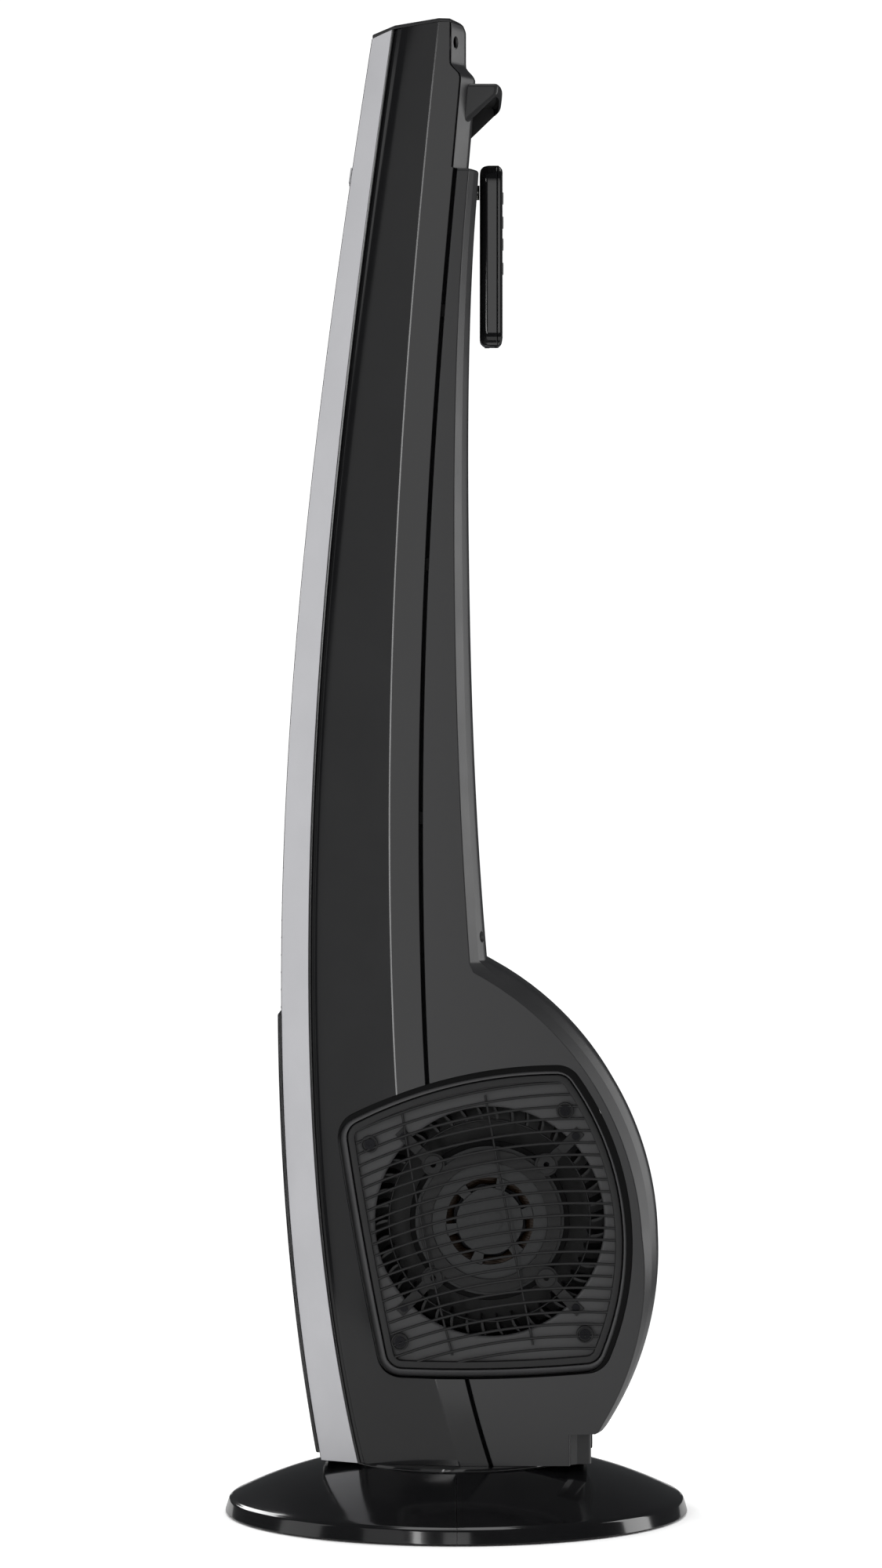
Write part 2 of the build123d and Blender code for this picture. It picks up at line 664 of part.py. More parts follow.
# ================================================================ blower
def volute(extra):
    """Scroll outline in (y, z): a growing spiral, then the outlet up into the duct."""
    points = []
    for i in range(8):
        angle = math.radians(tongue_angle + 305 / 7 * i)
        radius = volute_start + volute_growth * i / 7 + extra
        points.append((axle_y + radius * math.sin(angle), axle_z + radius * math.cos(angle)))
    spiral = Spline(*points)
    tongue, front = points[0], points[-1]
    top = scroll_top_z + (5 if extra <= 0 else 0)
    outlet = Polyline(front, (-124.0 - extra, scroll_top_z - 25), (-126.0 - extra, top),
                      (-24.0 + extra, top), tongue)
    return make_face(Curve() + [spiral, outlet])


def build_scroll():
    outer = prism_x(volute(lining), -scroll_half_width, scroll_half_width)
    outer = outer & tower_body(skin + lining_gap, trim_depth, 5)
    inner = prism_x(volute(0), -scroll_half_width + lining, scroll_half_width - lining)
    inner = inner & tower_body(skin + lining_gap + lining, trim_depth, 5)
    scroll = outer - inner - rod_x(inlet_radius, -100, 100, axle_y, axle_z)
    for i in range(4):
        y, z = around_axle(bracket_screw_circle, math.radians(45 + 90 * i))
        scroll = scroll - rod_x(1.3, -100, 100, y, z)
    right = scroll & block(seam / 2, 200, -300, 300, 0, sky_z)
    left = scroll & block(-200, -seam / 2, -300, 300, 0, sky_z)
    save("scroll_right", right)
    save("scroll_left", left)


def duct_face(extra):
    """Air duct outline in (y, z): open front behind the grille, back wall leaning forward."""
    z0, z1 = scroll_top_z + 0.4, grille_top_z + extra
    back = Spline((-24 + extra, z0 - (5 if extra <= 0 else 0)), (-14 + extra, z0 + 130),
                  (front_line.at(0.6 * z1 + 0.4 * z0) + 78 + extra, 0.6 * z1 + 0.4 * z0),
                  (front_line.at(z1) + 34 + extra, z1))
    push = grille_depth + slip if extra > 0 else grille_depth - 8
    front_pts = [(front_line.at(z) + push, z) for z in (z1, 0.5 * (z0 + z1), z0)]
    start, end = back @ 0, back @ 1
    front_pts[-1] = (front_pts[-1][0], start.Y)
    front_pts[0] = (front_pts[0][0], end.Y)
    return make_face(Curve() + [back, Line(end, front_pts[0]), ThreePointArc(*front_pts),
                                Line(front_pts[-1], start)])


def build_duct():
    outer = prism_x(duct_face(lining), -duct_half_width, duct_half_width)
    outer = outer & tower_body(skin + lining_gap, trim_depth, 5)
    outer = outer + block(-16, 16, capacitor_y - 10, capacitor_y, capacitor_z + 4, capacitor_z + 46)
    inner = prism_x(duct_face(0), -duct_half_width + lining, duct_half_width - lining)
    inner = inner & tower_body(skin + lining_gap + lining, trim_depth, 5)
    duct = outer - inner
    save("air_duct", max(duct.solids(), key=lambda s: s.volume))


def build_intake():
    plate_x = scroll_half_width
    rim_top = tower_half_width - 1.0
    tray = prism_x(tray_face(0), plate_x, rim_top) - prism_x(tray_face(tray_rim), plate_x + tray_plate, 100)
    tray = tray - rod_x(inlet_radius, 0, 100, axle_y, axle_z)
    for i in range(4):
        y, z = around_axle(bracket_screw_circle, math.radians(45 + 90 * i))
        tray = tray - rod_x(1.3, 0, 100, y, z)
    for y, z in screw_places:
        tray = tray + rod_x(5.0, plate_x + 0.5, grille_outer_x - 4.2, y, z)
        tray = tray - rod_x(1.6, plate_x - 5, 100, y, z)
    save("intake_tray_right", tray)
    save("intake_tray_left", mirror(tray, about=Plane.YZ))

    edge = tray_rim + recess_width
    frame_back, frame_front = plate_x + tray_plate, grille_outer_x
    frame = prism_x(tray_face(edge), frame_back, frame_front)
    frame = frame - prism_x(tray_face(edge + grille_frame_width), 0, 100)
    window = tray_face(edge + grille_frame_width - 1.0)
    bars = []
    for i in range(30):
        ring = Pos(bar_centre[0], bar_centre[1] - (i + 0.6) * bar_pitch) * (
            Circle(bar_radius + bar_width / 2) - Circle(bar_radius - bar_width / 2))
        piece = ring & window
        if piece.area > 20:
            bars.append(prism_x(piece, frame_front - 3.0, frame_front))
    ribs = []
    for points in (((4.0, 110.0), (-26.0, 230.0), (-46.0, 345.0)),
                   ((69.0, 110.0), (43.0, 240.0), (18.0, 375.0))):
        centre, radius = circle_through(*points)
        ring = Pos(*centre) * (Circle(radius + 1.2) - Circle(radius - 1.2))
        ribs.append(prism_x(ring & window, frame_front - 4.0, frame_front - 1.5))
    grille = frame + bars + ribs
    for y, z in screw_places:
        grille = grille + rod_x(7.0, frame_front - 4.0, frame_front + 0.3, y, z)
        grille = grille - rod_x(5.6, frame_front - 1.8, 100, y, z) - rod_x(1.9, 0, 100, y, z)
    save("intake_grille_right", grille)
    save("intake_grille_left", mirror(grille, about=Plane.YZ))

    screws = []
    for y, z in screw_places:
        head_back = frame_front - 1.8
        screw = rod_x(screw_head_radius, head_back, head_back + 1.9, y, z)
        screw = screw + rod_x(1.5, plate_x + 1, head_back + 0.1, y, z)
        for dy, dz in ((2.4, 0.45), (0.45, 2.4)):
            screw = screw - block(head_back + 0.9, 100, y - dy, y + dy, z - dz, z + dz)
        screws += [screw, mirror(screw, about=Plane.YZ)]
    save("grille_screws", screws)


def build_blower():
    half = wheel_half_length
    inner_r = wheel_radius - blade_depth
    blades = []
    for i in range(blade_count):
        base = [(inner_r + 0.5, 0.0), (inner_r + 0.55 * blade_depth, 1.2), (wheel_radius - 0.5, 6.0)]
        arc = ThreePointArc(*base)
        back = ThreePointArc(*[(r + 0.25, s + blade_thickness) for r, s in base])
        face = make_face(Curve() + [arc, Line(arc @ 1, back @ 1), back, Line(back @ 0, arc @ 0)])
        face = Pos(axle_y, axle_z) * (Rot(0, 0, 360 / blade_count * i) * face)
        blades.append(prism_x(face, -half + 1, half - 1))
    rim = Pos(axle_y, axle_z) * (Circle(wheel_radius) - Circle(inner_r))
    disc = prism_x(Pos(axle_y, axle_z) * Circle(wheel_radius), disc_x - 1.5, disc_x)
    hub = rod_x(12, disc_x - 16, disc_x, axle_y, axle_z)
    wheel = disc + [hub, prism_x(rim, -half, -half + 2.5), prism_x(rim, half - 2.5, half)] + blades
    wheel = wheel - rod_x(shaft_radius + 0.02, -100, 100, axle_y, axle_z)
    save("blower_wheel", wheel)
    shaft = rod_x(shaft_radius, disc_x - 20, motor_back_x + motor_length - 6, axle_y, axle_z)
    rotor = rod_x(26, motor_back_x + 14, motor_back_x + motor_length - 14, axle_y, axle_z)
    save("motor_shaft", shaft + rotor)
    collar = rod_x(8, disc_x - 19.5, disc_x - 16, axle_y, axle_z)
    save("shaft_collar", collar - rod_x(shaft_radius + 0.02, -100, 100, axle_y, axle_z))


def build_motor():
    """Fan motor on its bracket; returns the bracket's screws."""
    x0, x1 = motor_back_x, motor_back_x + motor_length
    can = rod_x(motor_radius, x0, x1, axle_y, axle_z)
    can = can - rod_x(motor_radius - 2, x0 + 3, x1 - 3, axle_y, axle_z)
    can = can - rod_x(shaft_radius + run_fit, x0 - 1, x0 + 4, axle_y, axle_z)
    stop = x1 - 5.5
    can = can + (rod_x(9, x1 - 12, x1 - 2.9, axle_y, axle_z)
                 - rod_x(shaft_radius + run_fit, x1 - 13, stop, axle_y, axle_z))
    for i in range(24):
        slot = Pos(axle_y, axle_z) * (Rot(0, 0, 15 * i) * (Pos(36, 0) * SlotOverall(20, 4.4)))
        can = can - prism_x(slot, x1 - 4, x1 + 1)
    save("motor_housing", can)
    winding = (rod_x(45, x1 - 16, x1 - 4.5, axle_y, axle_z) - rod_x(29, 0, 100, axle_y, axle_z))
    stator = (rod_x(motor_radius - 2.2, x0 + 14, x1 - 16.2, axle_y, axle_z)
              - rod_x(26.6, 0, 100, axle_y, axle_z))
    save("motor_windings", winding)
    save("motor_stator", stator)

    # Bracket: a ring round the motor's end, and four arms that step out over the edge of the inlet.
    plate0, plate1 = x1 + 0.1, x1 + 0.1 + bracket_plate
    seat = scroll_half_width + tray_plate
    bracket = rod_x(motor_radius + 2, plate0, plate1, axle_y, axle_z)
    bracket = bracket - rod_x(motor_radius - 9, 0, 100, axle_y, axle_z)
    grommets, screws = [], []
    step_in, step_out = inlet_radius - 12.0, inlet_radius + 11.0
    for i in range(4):
        angle = math.radians(45 + 90 * i)
        bracket = bracket + arm_part(angle, motor_radius, step_in + bracket_plate, plate0, plate1)
        bracket = bracket + arm_part(angle, step_in, step_in + bracket_plate, plate0, seat + bracket_plate)
        bracket = bracket + arm_part(angle, step_in, step_out, seat, seat + bracket_plate)
        y, z = around_axle(grommet_circle, angle)
        bracket = bracket + rod_x(9.5, plate0, plate1, y, z) - rod_x(5.0, 0, 100, y, z)
        rubber = rod_x(4.9, plate0, plate1, y, z) + rod_x(7.5, plate1, plate1 + 2.2, y, z)
        grommets.append(rubber - rod_x(2.2, 0, 100, y, z))
        y, z = around_axle(bracket_screw_circle, angle)
        bracket = bracket - rod_x(1.8, seat - 1, 100, y, z)
        screws.append(pan_screw_x(seat + bracket_plate, 8.0, y, z))
    save("motor_bracket", bracket)
    save("motor_grommets", grommets)
    return screws


def around_axle(radius, angle):
    return axle_y + radius * math.cos(angle), axle_z + radius * math.sin(angle)


def arm_part(angle, r0, r1, x0, x1):
    """Straight piece of a bracket arm between two radii from the axle."""
    bar = Rot(0, 0, math.degrees(angle)) * (Pos((r0 + r1) / 2, 0) * Rectangle(r1 - r0, 9))
    return prism_x(Pos(axle_y, axle_z) * bar, x0, x1)


def pan_screw_x(seat_x, length, y, z):
    """Small pan-head screw whose head stands on seat_x and points to +X."""
    return rod_x(3.2, seat_x, seat_x + 1.6, y, z) + rod_x(1.2, seat_x - length, seat_x + 0.1, y, z)


def build_small_parts():
    # The run capacitor stands on a pad on the back of the duct.
    save("run_capacitor", block(-18, 18, capacitor_y, capacitor_y + 14, capacitor_z, capacitor_z + 50))
    # The cord gland's neck fills the hole in the low block, between two flanges.
    wall_outer, wall_inner = block_top.y, block_top.y - skin
    gland = rod_y(gland_radius, wall_inner - 6.0, wall_outer, 0, gland_z())
    gland = gland + rod_y(gland_radius + 2.5, wall_outer + 0.1, wall_outer + 2.5, 0, gland_z())
    gland = gland + rod_y(gland_radius + 2.5, wall_inner - 6.0, wall_inner - slip, 0, gland_z())
    gland = gland - rod_y(2.6, wall_inner - 20, wall_outer + 20, 0, gland_z())
    save("cord_gland", gland)
    screws = []
    seat = seam_screw_seat_y
    for z in seam_screw_heights():
        for x in (-seam_screw_x, seam_screw_x):
            screws.append(rod_y(3.8, seat, seat + 2.2, x, z) + rod_y(1.35, seat - 16, seat + 0.1, x, z))
    save("housing_screws", screws)
    clips = []
    for share in (0.18, 0.5, 0.82):
        z = shoulder_z + share * (ledge_z - shoulder_z)
        y = ridge_line.at(z) + band_width
        wall_x = tower_half_width - skin
        clip = block(wall_x - 1.6, wall_x - 0.1, y - 5, y + 5, z - 5, z + 5)
        clips += [clip, mirror(clip, about=Plane.YZ)]
    save("seam_clips", clips)
    save("dock_magnet", rod_y(magnet_radius, 14.0, remote_back_y - 0.3, 0, dock_z()))


def build_handle():
    # The carry handle is a hooded scoop, open below and behind, on the slanted back.
    top, low = handle_top_z, handle_top_z - 35.0
    lip, reach = 38.3, 34.0
    blank = polygon((-5, low), (-5, top), (reach, top), (lip, top - 2.5), (lip, top - 7), (12.5, low))
    handle = prism_x(blank, -handle_half_width, handle_half_width) - tower_body(-0.1, 0, 0)
    wall = 3.0
    inside = polygon((-20, low - 20), (-20, top - wall), (reach, top - wall), (lip - 2.8, top - wall - 1.5),
                     (lip - 2.8, top - 12), (60, top - 12), (60, low - 20))
    inner_half = handle_half_width - wall
    back_plate = handle & tower_body(-0.1 - wall, 0, 0)
    handle = (handle - prism_x(inside, -inner_half, inner_half)) + back_plate
    save("carry_handle", handle)


# ================================================================ remote
def remote_solid(inset):
    y_mid = remote_back_y + remote_thickness / 2
    z_mid = remote_top_z - remote_length / 2
    wide = RectangleRounded(remote_width - 2 * inset, remote_length - 2 * inset, 13 - inset)
    thin = RectangleRounded(remote_thickness - 2 * inset, remote_length - 2 * inset, 6.5 - inset)
    across = Pos(0, remote_thickness, 0) * extrude(Plane.XZ * wide, amount=2 * remote_thickness)
    along = prism_x(thin, -remote_width, remote_width)
    return Pos(0, y_mid, z_mid) * (across & along)


def key_places():
    top = remote_top_z
    return [(0, top - 26), (0, top - 46), (0, top - 64), (0, top - 84)]


def build_remote():
    z_mid = remote_top_z - remote_length / 2
    face_y = remote_back_y + remote_thickness
    shell = remote_solid(0) - remote_solid(remote_wall)
    back = shell & block(-50, 50, 0, remote_seam_y, 0, sky_z)
    front = shell & block(-50, 50, remote_seam_y + 0.1, 100, 0, sky_z)
    low = remote_top_z - remote_length
    tray_top = low + 34.0
    back = back - block(-11.3, 11.3, remote_back_y + 3.7, remote_back_y + 8.3, low - 5, low + 6)
    back = back - block(-16, 16, remote_back_y - 1, remote_back_y + 0.9, low + 12, low + 84)
    for x, z in key_places():
        front = front - rod_y(key_radius + 0.25, face_y - 5, face_y + 5, x, z)
    save("remote_back_shell", back)
    save("remote_front_shell", front)
    strip = block(-15.8, 15.8, remote_back_y, remote_back_y + 0.85, low + 12.2, low + 83.8)
    save("remote_grip_strip", strip)
    board_y = remote_seam_y - 2.5
    board = block(-17, 17, board_y, board_y + 1.4, low + 8, remote_top_z - 8)
    for x, z in key_places():
        board = board + rod_y(2.5, board_y + 1.3, board_y + 1.7, x, z)
    posts = [rod_y(2.0, remote_back_y + remote_wall, board_y, x, z)
             for x in (-13, 13) for z in (low + 60, remote_top_z - 20)]
    save("remote_board", board + posts)
    keeper_y = remote_back_y + remote_wall
    save("remote_keeper", rod_y(7.0, keeper_y, keeper_y + 1.2, 0, dock_z()))
    for (x, z), name in zip(key_places(), key_names):
        key = rod_y(key_radius, face_y - 2.6, face_y + key_proud, x, z)
        key = key + rod_y(1.6, board_y + 2.6, face_y - 2.5, x, z)
        save("key_" + name, key)
    tray = block(-11, 11, remote_back_y + 4, remote_back_y + 8, low, tray_top)
    cell_place = (remote_back_y + 4.8, low + 20)
    tray = tray - rod_y(10.2, cell_place[0], remote_back_y + 9, 0, cell_place[1])
    save("battery_tray", tray)
    save("coin_cell", rod_y(10.0, cell_place[0], cell_place[0] + 3.0, 0, cell_place[1]))


def main():
    build_base()
    swing_screws = build_swing_drive()
    build_shells()
    build_outlet()
    build_controls()
    build_scroll()
    build_duct()
    build_intake()
    build_blower()
    save("motor_screws", swing_screws + build_motor())
    build_small_parts()
    build_handle()
    build_remote()


main()
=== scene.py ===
"""Looks of the tower fan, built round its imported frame.

Sizes are in millimetres and are turned to metres where a mesh is made. +Z is up, the fan blows
towards -Y and its right side is +X.
"""

import logging
import math
from dataclasses import dataclass, field
from enum import Enum
from typing import Callable, Sequence

import bmesh
import bpy
import numpy as np
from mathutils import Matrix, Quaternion, Vector


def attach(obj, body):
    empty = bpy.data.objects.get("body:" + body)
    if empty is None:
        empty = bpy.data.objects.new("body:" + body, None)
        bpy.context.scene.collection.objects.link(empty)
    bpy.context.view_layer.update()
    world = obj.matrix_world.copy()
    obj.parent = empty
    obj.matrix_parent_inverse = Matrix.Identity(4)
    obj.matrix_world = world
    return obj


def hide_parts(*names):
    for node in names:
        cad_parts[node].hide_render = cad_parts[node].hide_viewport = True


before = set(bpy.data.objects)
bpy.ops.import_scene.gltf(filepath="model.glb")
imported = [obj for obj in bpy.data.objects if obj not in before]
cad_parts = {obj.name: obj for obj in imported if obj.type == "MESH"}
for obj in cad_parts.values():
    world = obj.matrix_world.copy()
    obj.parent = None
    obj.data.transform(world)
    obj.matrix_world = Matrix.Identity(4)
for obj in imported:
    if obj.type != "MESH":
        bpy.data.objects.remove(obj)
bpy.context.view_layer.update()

MM = 0.001
LOG = logging.getLogger("tower_fan")
Line = Callable[[float], float]
Ring = list[Vector]
Pair = tuple[float, float]
Corner = tuple[Vector, float]


# ------ finishes
def linear(hex_colour: str) -> tuple[float, float, float, float]:
    """Turn an sRGB hex colour into a linear RGBA value.

    Args:
        hex_colour: six hex digits, red first.

    Returns:
        Linear red, green, blue and an alpha of 1.
    """
    parts = [int(hex_colour[i:i + 2], 16) / 255 for i in (0, 2, 4)]
    red, green, blue = (p / 12.92 if p <= 0.04045 else ((p + 0.055) / 1.055) ** 2.4 for p in parts)
    return red, green, blue, 1.0


def add_node(tree: bpy.types.NodeTree, kind: str, settings: dict, links: dict) -> bpy.types.Node:
    """Add a shader node, set it and link it.

    Args:
        tree: node tree that gets the node.
        kind: Blender's name of the node type.
        settings: input sockets by name, or the node's own properties, with their values.
        links: input sockets by name or index, each with (node, output name) to read from.

    Returns:
        The new node.
    """
    node = tree.nodes.new(kind)
    for key, value in settings.items():
        if key in node.inputs:
            node.inputs[key].default_value = value
        else:
            setattr(node, key, value)
    for key, (source, output) in links.items():
        tree.links.new(source.outputs[output], node.inputs[key])
    return node


class Pattern(Enum):
    """How a surface was made, as the eye sees it."""

    POLISHED = "mirror-polished mould"
    GRAINED = "spark-eroded mould"
    FLAKED = "metallic paint"
    BRUSHED = "rolled or turned metal"
    WOUND = "enamelled wire, wound"


# How a finish varies: noise between two values blends its colours over broad patches, the surface
# pattern adds its own share, and the whole stays short of the second colour. Brushed grain is
# drawn long along the piece.
PATCH_LOW, PATCH_HIGH = 0.35, 0.65
GRAIN_SHARE = 0.5
DRIFT_SHARE = 0.66
BRUSH_STRETCH = 0.06
COLOUR_SOCKETS = (6, 7)
COLOUR_RESULT = 2


@dataclass(frozen=True)
class Finish:
    """A real material with the way its surface was made.

    The second colour is where the first one drifts to over patches of patch_mm, grain_mm is the
    size of the surface pattern and relief_mm its height.
    """

    name: str
    colour: str
    drift: str
    roughness: float
    spread: float
    pattern: Pattern
    grain_mm: float
    relief_mm: float
    metallic: float = 0.0
    ior: float = 1.5
    coat: float = 0.0
    coat_roughness: float = 0.05
    patch_mm: float = 60.0

    def build(self) -> bpy.types.Material:
        """Make the node material.

        Returns:
            The material, with colour drift, roughness spread and relief from its pattern.
        """
        material = bpy.data.materials.new(self.name)
        material.use_nodes = True
        tree = material.node_tree
        tree.nodes.clear()
        place = add_node(tree, "ShaderNodeTexCoord", {}, {})
        stretch = (1.0, 1.0, BRUSH_STRETCH if self.pattern is Pattern.BRUSHED else 1.0)
        spot = add_node(tree, "ShaderNodeMapping", {"Scale": stretch},
                        {"Vector": (place, "Object")})
        grain = self.add_grain(tree, spot)
        patches = add_node(tree, "ShaderNodeTexNoise",
                           {"Scale": 1000 / self.patch_mm, "Detail": 3.0, "Roughness": 0.55},
                           {"Vector": (place, "Object")})
        blend = add_node(tree, "ShaderNodeMapRange",
                         {"From Min": PATCH_LOW, "From Max": PATCH_HIGH},
                         {"Value": (patches, "Fac")})
        mottle = add_node(tree, "ShaderNodeMath", {"operation": "MULTIPLY_ADD"},
                          {0: (grain, 0), 2: (blend, "Result")})
        mottle.inputs[1].default_value = GRAIN_SHARE
        share = add_node(tree, "ShaderNodeMath", {"operation": "MULTIPLY"}, {0: (mottle, 0)})
        share.inputs[1].default_value = DRIFT_SHARE
        colour = add_node(tree, "ShaderNodeMix", {"data_type": "RGBA"}, {0: (share, 0)})
        for socket, value in zip(COLOUR_SOCKETS, (self.colour, self.drift)):
            colour.inputs[socket].default_value = linear(value)
        rough = add_node(tree, "ShaderNodeMapRange",
                         {"To Min": self.roughness - self.spread,
                          "To Max": self.roughness + self.spread},
                         {"Value": (share, 0)})
        bump = add_node(tree, "ShaderNodeBump", {"Strength": 1.0, "Distance": self.relief_mm * MM},
                        {"Height": (grain, 0)})
        shader = add_node(tree, "ShaderNodeBsdfPrincipled",
                          {"Metallic": self.metallic, "IOR": self.ior, "Coat Weight": self.coat,
                           "Coat Roughness": self.coat_roughness},
                          {"Roughness": (rough, "Result"), "Normal": (bump, "Normal")})
        tree.links.new(colour.outputs[COLOUR_RESULT], shader.inputs["Base Color"])
        add_node(tree, "ShaderNodeOutputMaterial", {}, {"Surface": (shader, "BSDF")})
        return material

    def add_grain(self, tree: bpy.types.NodeTree, spot: bpy.types.Node) -> bpy.types.Node:
        """Add the node that draws the surface pattern.

        Args:
            tree: the material's node tree.
            spot: mapping node with the place on the piece.

        Returns:
            A node whose first output is the pattern, from 0 to 1.
        """
        scale = 1000 / self.grain_mm
        vector = {"Vector": (spot, "Vector")}
        if self.pattern is Pattern.FLAKED:
            return add_node(tree, "ShaderNodeTexVoronoi", {"Scale": scale}, vector)
        if self.pattern is Pattern.WOUND:
            wave = add_node(tree, "ShaderNodeTexWave",
                            {"Scale": scale / (2 * math.pi), "wave_type": "RINGS",
                             "rings_direction": "X", "Distortion": 1.5}, vector)
            return add_node(tree, "ShaderNodeMath", {"operation": "MULTIPLY"}, {0: (wave, "Fac")})
        detail = 1.0 if self.pattern is Pattern.POLISHED else 4.0
        return add_node(tree, "ShaderNodeTexNoise",
                        {"Scale": scale, "Detail": detail, "Roughness": 0.6}, vector)


# Moulded grain is about 0.1 mm in real life, metal flake 0.03 mm and brushing 0.05 mm, all too fine
# to show. Each is drawn coarser, at the size that its finish says, so that it shows at all.

# High-gloss ABS from a polished mould: near black, with clean reflections and only the faint
# ripple, some 35 mm long, that moulding leaves.
GLOSS_ABS = Finish("gloss_black_abs_polished_mould", "0b0b0c", "101011", 0.12, 0.03,
                   Pattern.POLISHED, 35.0, 0.01, ior=1.53, coat=0.2)
# The same ABS off a satin mould, for the side panels: dark, with slightly softened reflections.
# Its grain is drawn coarser than it is, at 1.6 mm.
SATIN_ABS = Finish("satin_black_abs_moulded", "0d0d0e", "121213", 0.12, 0.02,
                   Pattern.GRAINED, 1.6, 0.0012, ior=1.53)
# Charcoal ABS off a spark-eroded mould: matt, with a soft sheen along its edges. Its grain is
# drawn coarser than it is, at 1.1 mm.
GRAINED_ABS = Finish("charcoal_abs_fine_grain", "202021", "252526", 0.34, 0.04,
                     Pattern.GRAINED, 1.1, 0.008, ior=1.53)
# The grille's ABS is darker and duller, so its thin wires read as dark lines. Its grain is drawn
# coarser than it is, at 1 mm.
GRILLE_ABS = Finish("charcoal_abs_grille_moulding", "121213", "171718", 0.55, 0.05,
                    Pattern.GRAINED, 1.0, 0.006, ior=1.53)
# The tray behind it is a paler charcoal, so the wires stand out against it. Its grain is drawn
# coarser than it is, at 1 mm.
TRAY_ABS = Finish("charcoal_abs_tray_moulding", "353536", "3b3b3c", 0.46, 0.06,
                  Pattern.GRAINED, 1.0, 0.01, ior=1.53)
# Painted shade: near-black, dull textured ABS that takes up light, so borders and rings made of it
# read as shadow lines where they stand in for shade. Its texture is drawn coarser than it is, at 1
# mm.
SHADOW_ABS = Finish("painted_shade_black_abs", "030303", "070708", 0.7, 0.05,
                    Pattern.GRAINED, 1.0, 0.02, ior=1.3)
# Silver metallic lacquer on ABS: an even satin silver that sparkles very slightly. Its flakes are
# drawn coarser than they are, at 0.45 mm.
SILVER_LACQUER = Finish("silver_metallic_lacquer_on_abs", "aaaaad", "b1b1b4", 0.40, 0.04,
                        Pattern.FLAKED, 0.45, 0.002, metallic=0.2, coat=0.1, coat_roughness=0.25)
# Moulded black polypropylene of the blower: waxy, low gloss. Its grain is drawn coarser than it
# is, at 2 mm.
BLOWER_PP = Finish("black_polypropylene_moulded", "0f0f10", "161617", 0.42, 0.06,
                   Pattern.GRAINED, 2.0, 0.02, ior=1.49)
# Zinc-plated steel sheet and screws: grey metal with a drawn grain, coarser than it is, at 0.9 mm.
ZINC_STEEL = Finish("zinc_plated_steel_rolled", "8f9194", "a3a5a7", 0.34, 0.08,
                    Pattern.BRUSHED, 0.9, 0.01, metallic=1.0)
# Black oxide over turned steel screws: dark metal. Its lines are drawn coarser than they are, at
# 0.7 mm.
BLACK_STEEL = Finish("black_oxide_steel_screw", "1e1e20", "28282a", 0.32, 0.08,
                     Pattern.BRUSHED, 0.7, 0.01, metallic=1.0)
# Dark grey enamel, sprayed on the steel motor can: dull, with an orange peel of 1.4 mm.
MOTOR_ENAMEL = Finish("grey_enamel_on_steel_can", "252627", "2d2e2f", 0.55, 0.08,
                      Pattern.GRAINED, 1.4, 0.03)
# Enamelled copper wire: warm brown rings, glossy with varnish. The wire is about 0.3 mm thick and
# its rings are drawn coarser, at 1 mm.
COPPER_WIRE = Finish("enamelled_copper_wire_wound", "20160e", "2c1f13", 0.36, 0.08,
                     Pattern.WOUND, 1.0, 0.2, metallic=0.5)
# Black rubber: matt and slightly blotched, in spots of 1.5 mm.
RUBBER = Finish("black_rubber_moulded", "1c1c1d", "262627", 0.72, 0.08,
                Pattern.GRAINED, 1.5, 0.05, ior=1.52)
# Smoked acrylic over the display: dark, very glossy, with a long ripple.
SMOKED_ACRYLIC = Finish("smoked_acrylic_window", "0c0c0e", "121215", 0.06, 0.02,
                        Pattern.POLISHED, 40.0, 0.01, ior=1.49, coat=0.5)
# Red-tinted acrylic of the signal lens: deep and glossy.
LENS_ACRYLIC = Finish("tinted_acrylic_lens", "2a0d0d", "3a1010", 0.07, 0.02,
                      Pattern.POLISHED, 20.0, 0.01, ior=1.49, coat=0.5)
# Glass-fibre board: green lacquer over a faint weave. Its threads are about 0.4 mm apart and are
# drawn coarser, at 0.8 mm.
BOARD = Finish("fr4_board_green_lacquer", "1f4a33", "2a5a3f", 0.4, 0.06,
               Pattern.GRAINED, 0.8, 0.02)
# Moulded acetal gears: off-white and waxy. Their grain is drawn coarser than it is, at 1.2 mm.
ACETAL = Finish("white_acetal_moulded_gear", "d8d6cf", "e2e0da", 0.38, 0.05,
                Pattern.GRAINED, 1.2, 0.01, ior=1.48)
# Nickel plate on magnet, keeper, coin cell and capacitor can: pale metal. Its brushing is drawn
# coarser than it is, at 0.8 mm.
BRIGHT_METAL = Finish("nickel_plated_metal", "b9b9b6", "c7c7c4", 0.25, 0.06,
                      Pattern.BRUSHED, 0.8, 0.008, metallic=1.0)
# Pale paper sweep under the fan: matt. Its fibres are drawn coarser than they are, at 3 mm.
PAPER = Finish("pale_paper_sweep", "fcfcfc", "fefefe", 0.9, 0.03, Pattern.GRAINED, 3.0, 0.01)


@dataclass
class PaintShop:
    """Makes each finish once and hands it out."""

    made: dict[str, bpy.types.Material] = field(default_factory=dict)

    def get(self, finish: Finish) -> bpy.types.Material:
        """Hand out the material of a finish, made on first use.

        Args:
            finish: the finish.

        Returns:
            Its material.
        """
        if finish.name not in self.made:
            self.made[finish.name] = finish.build()
        return self.made[finish.name]


SHOP = PaintShop()


# ------ shapes
# Limits of a rounding: the smallest half-angle tangent, and its reach along either side.
SHARPEST = 0.05
LONGEST_REACH = 0.48


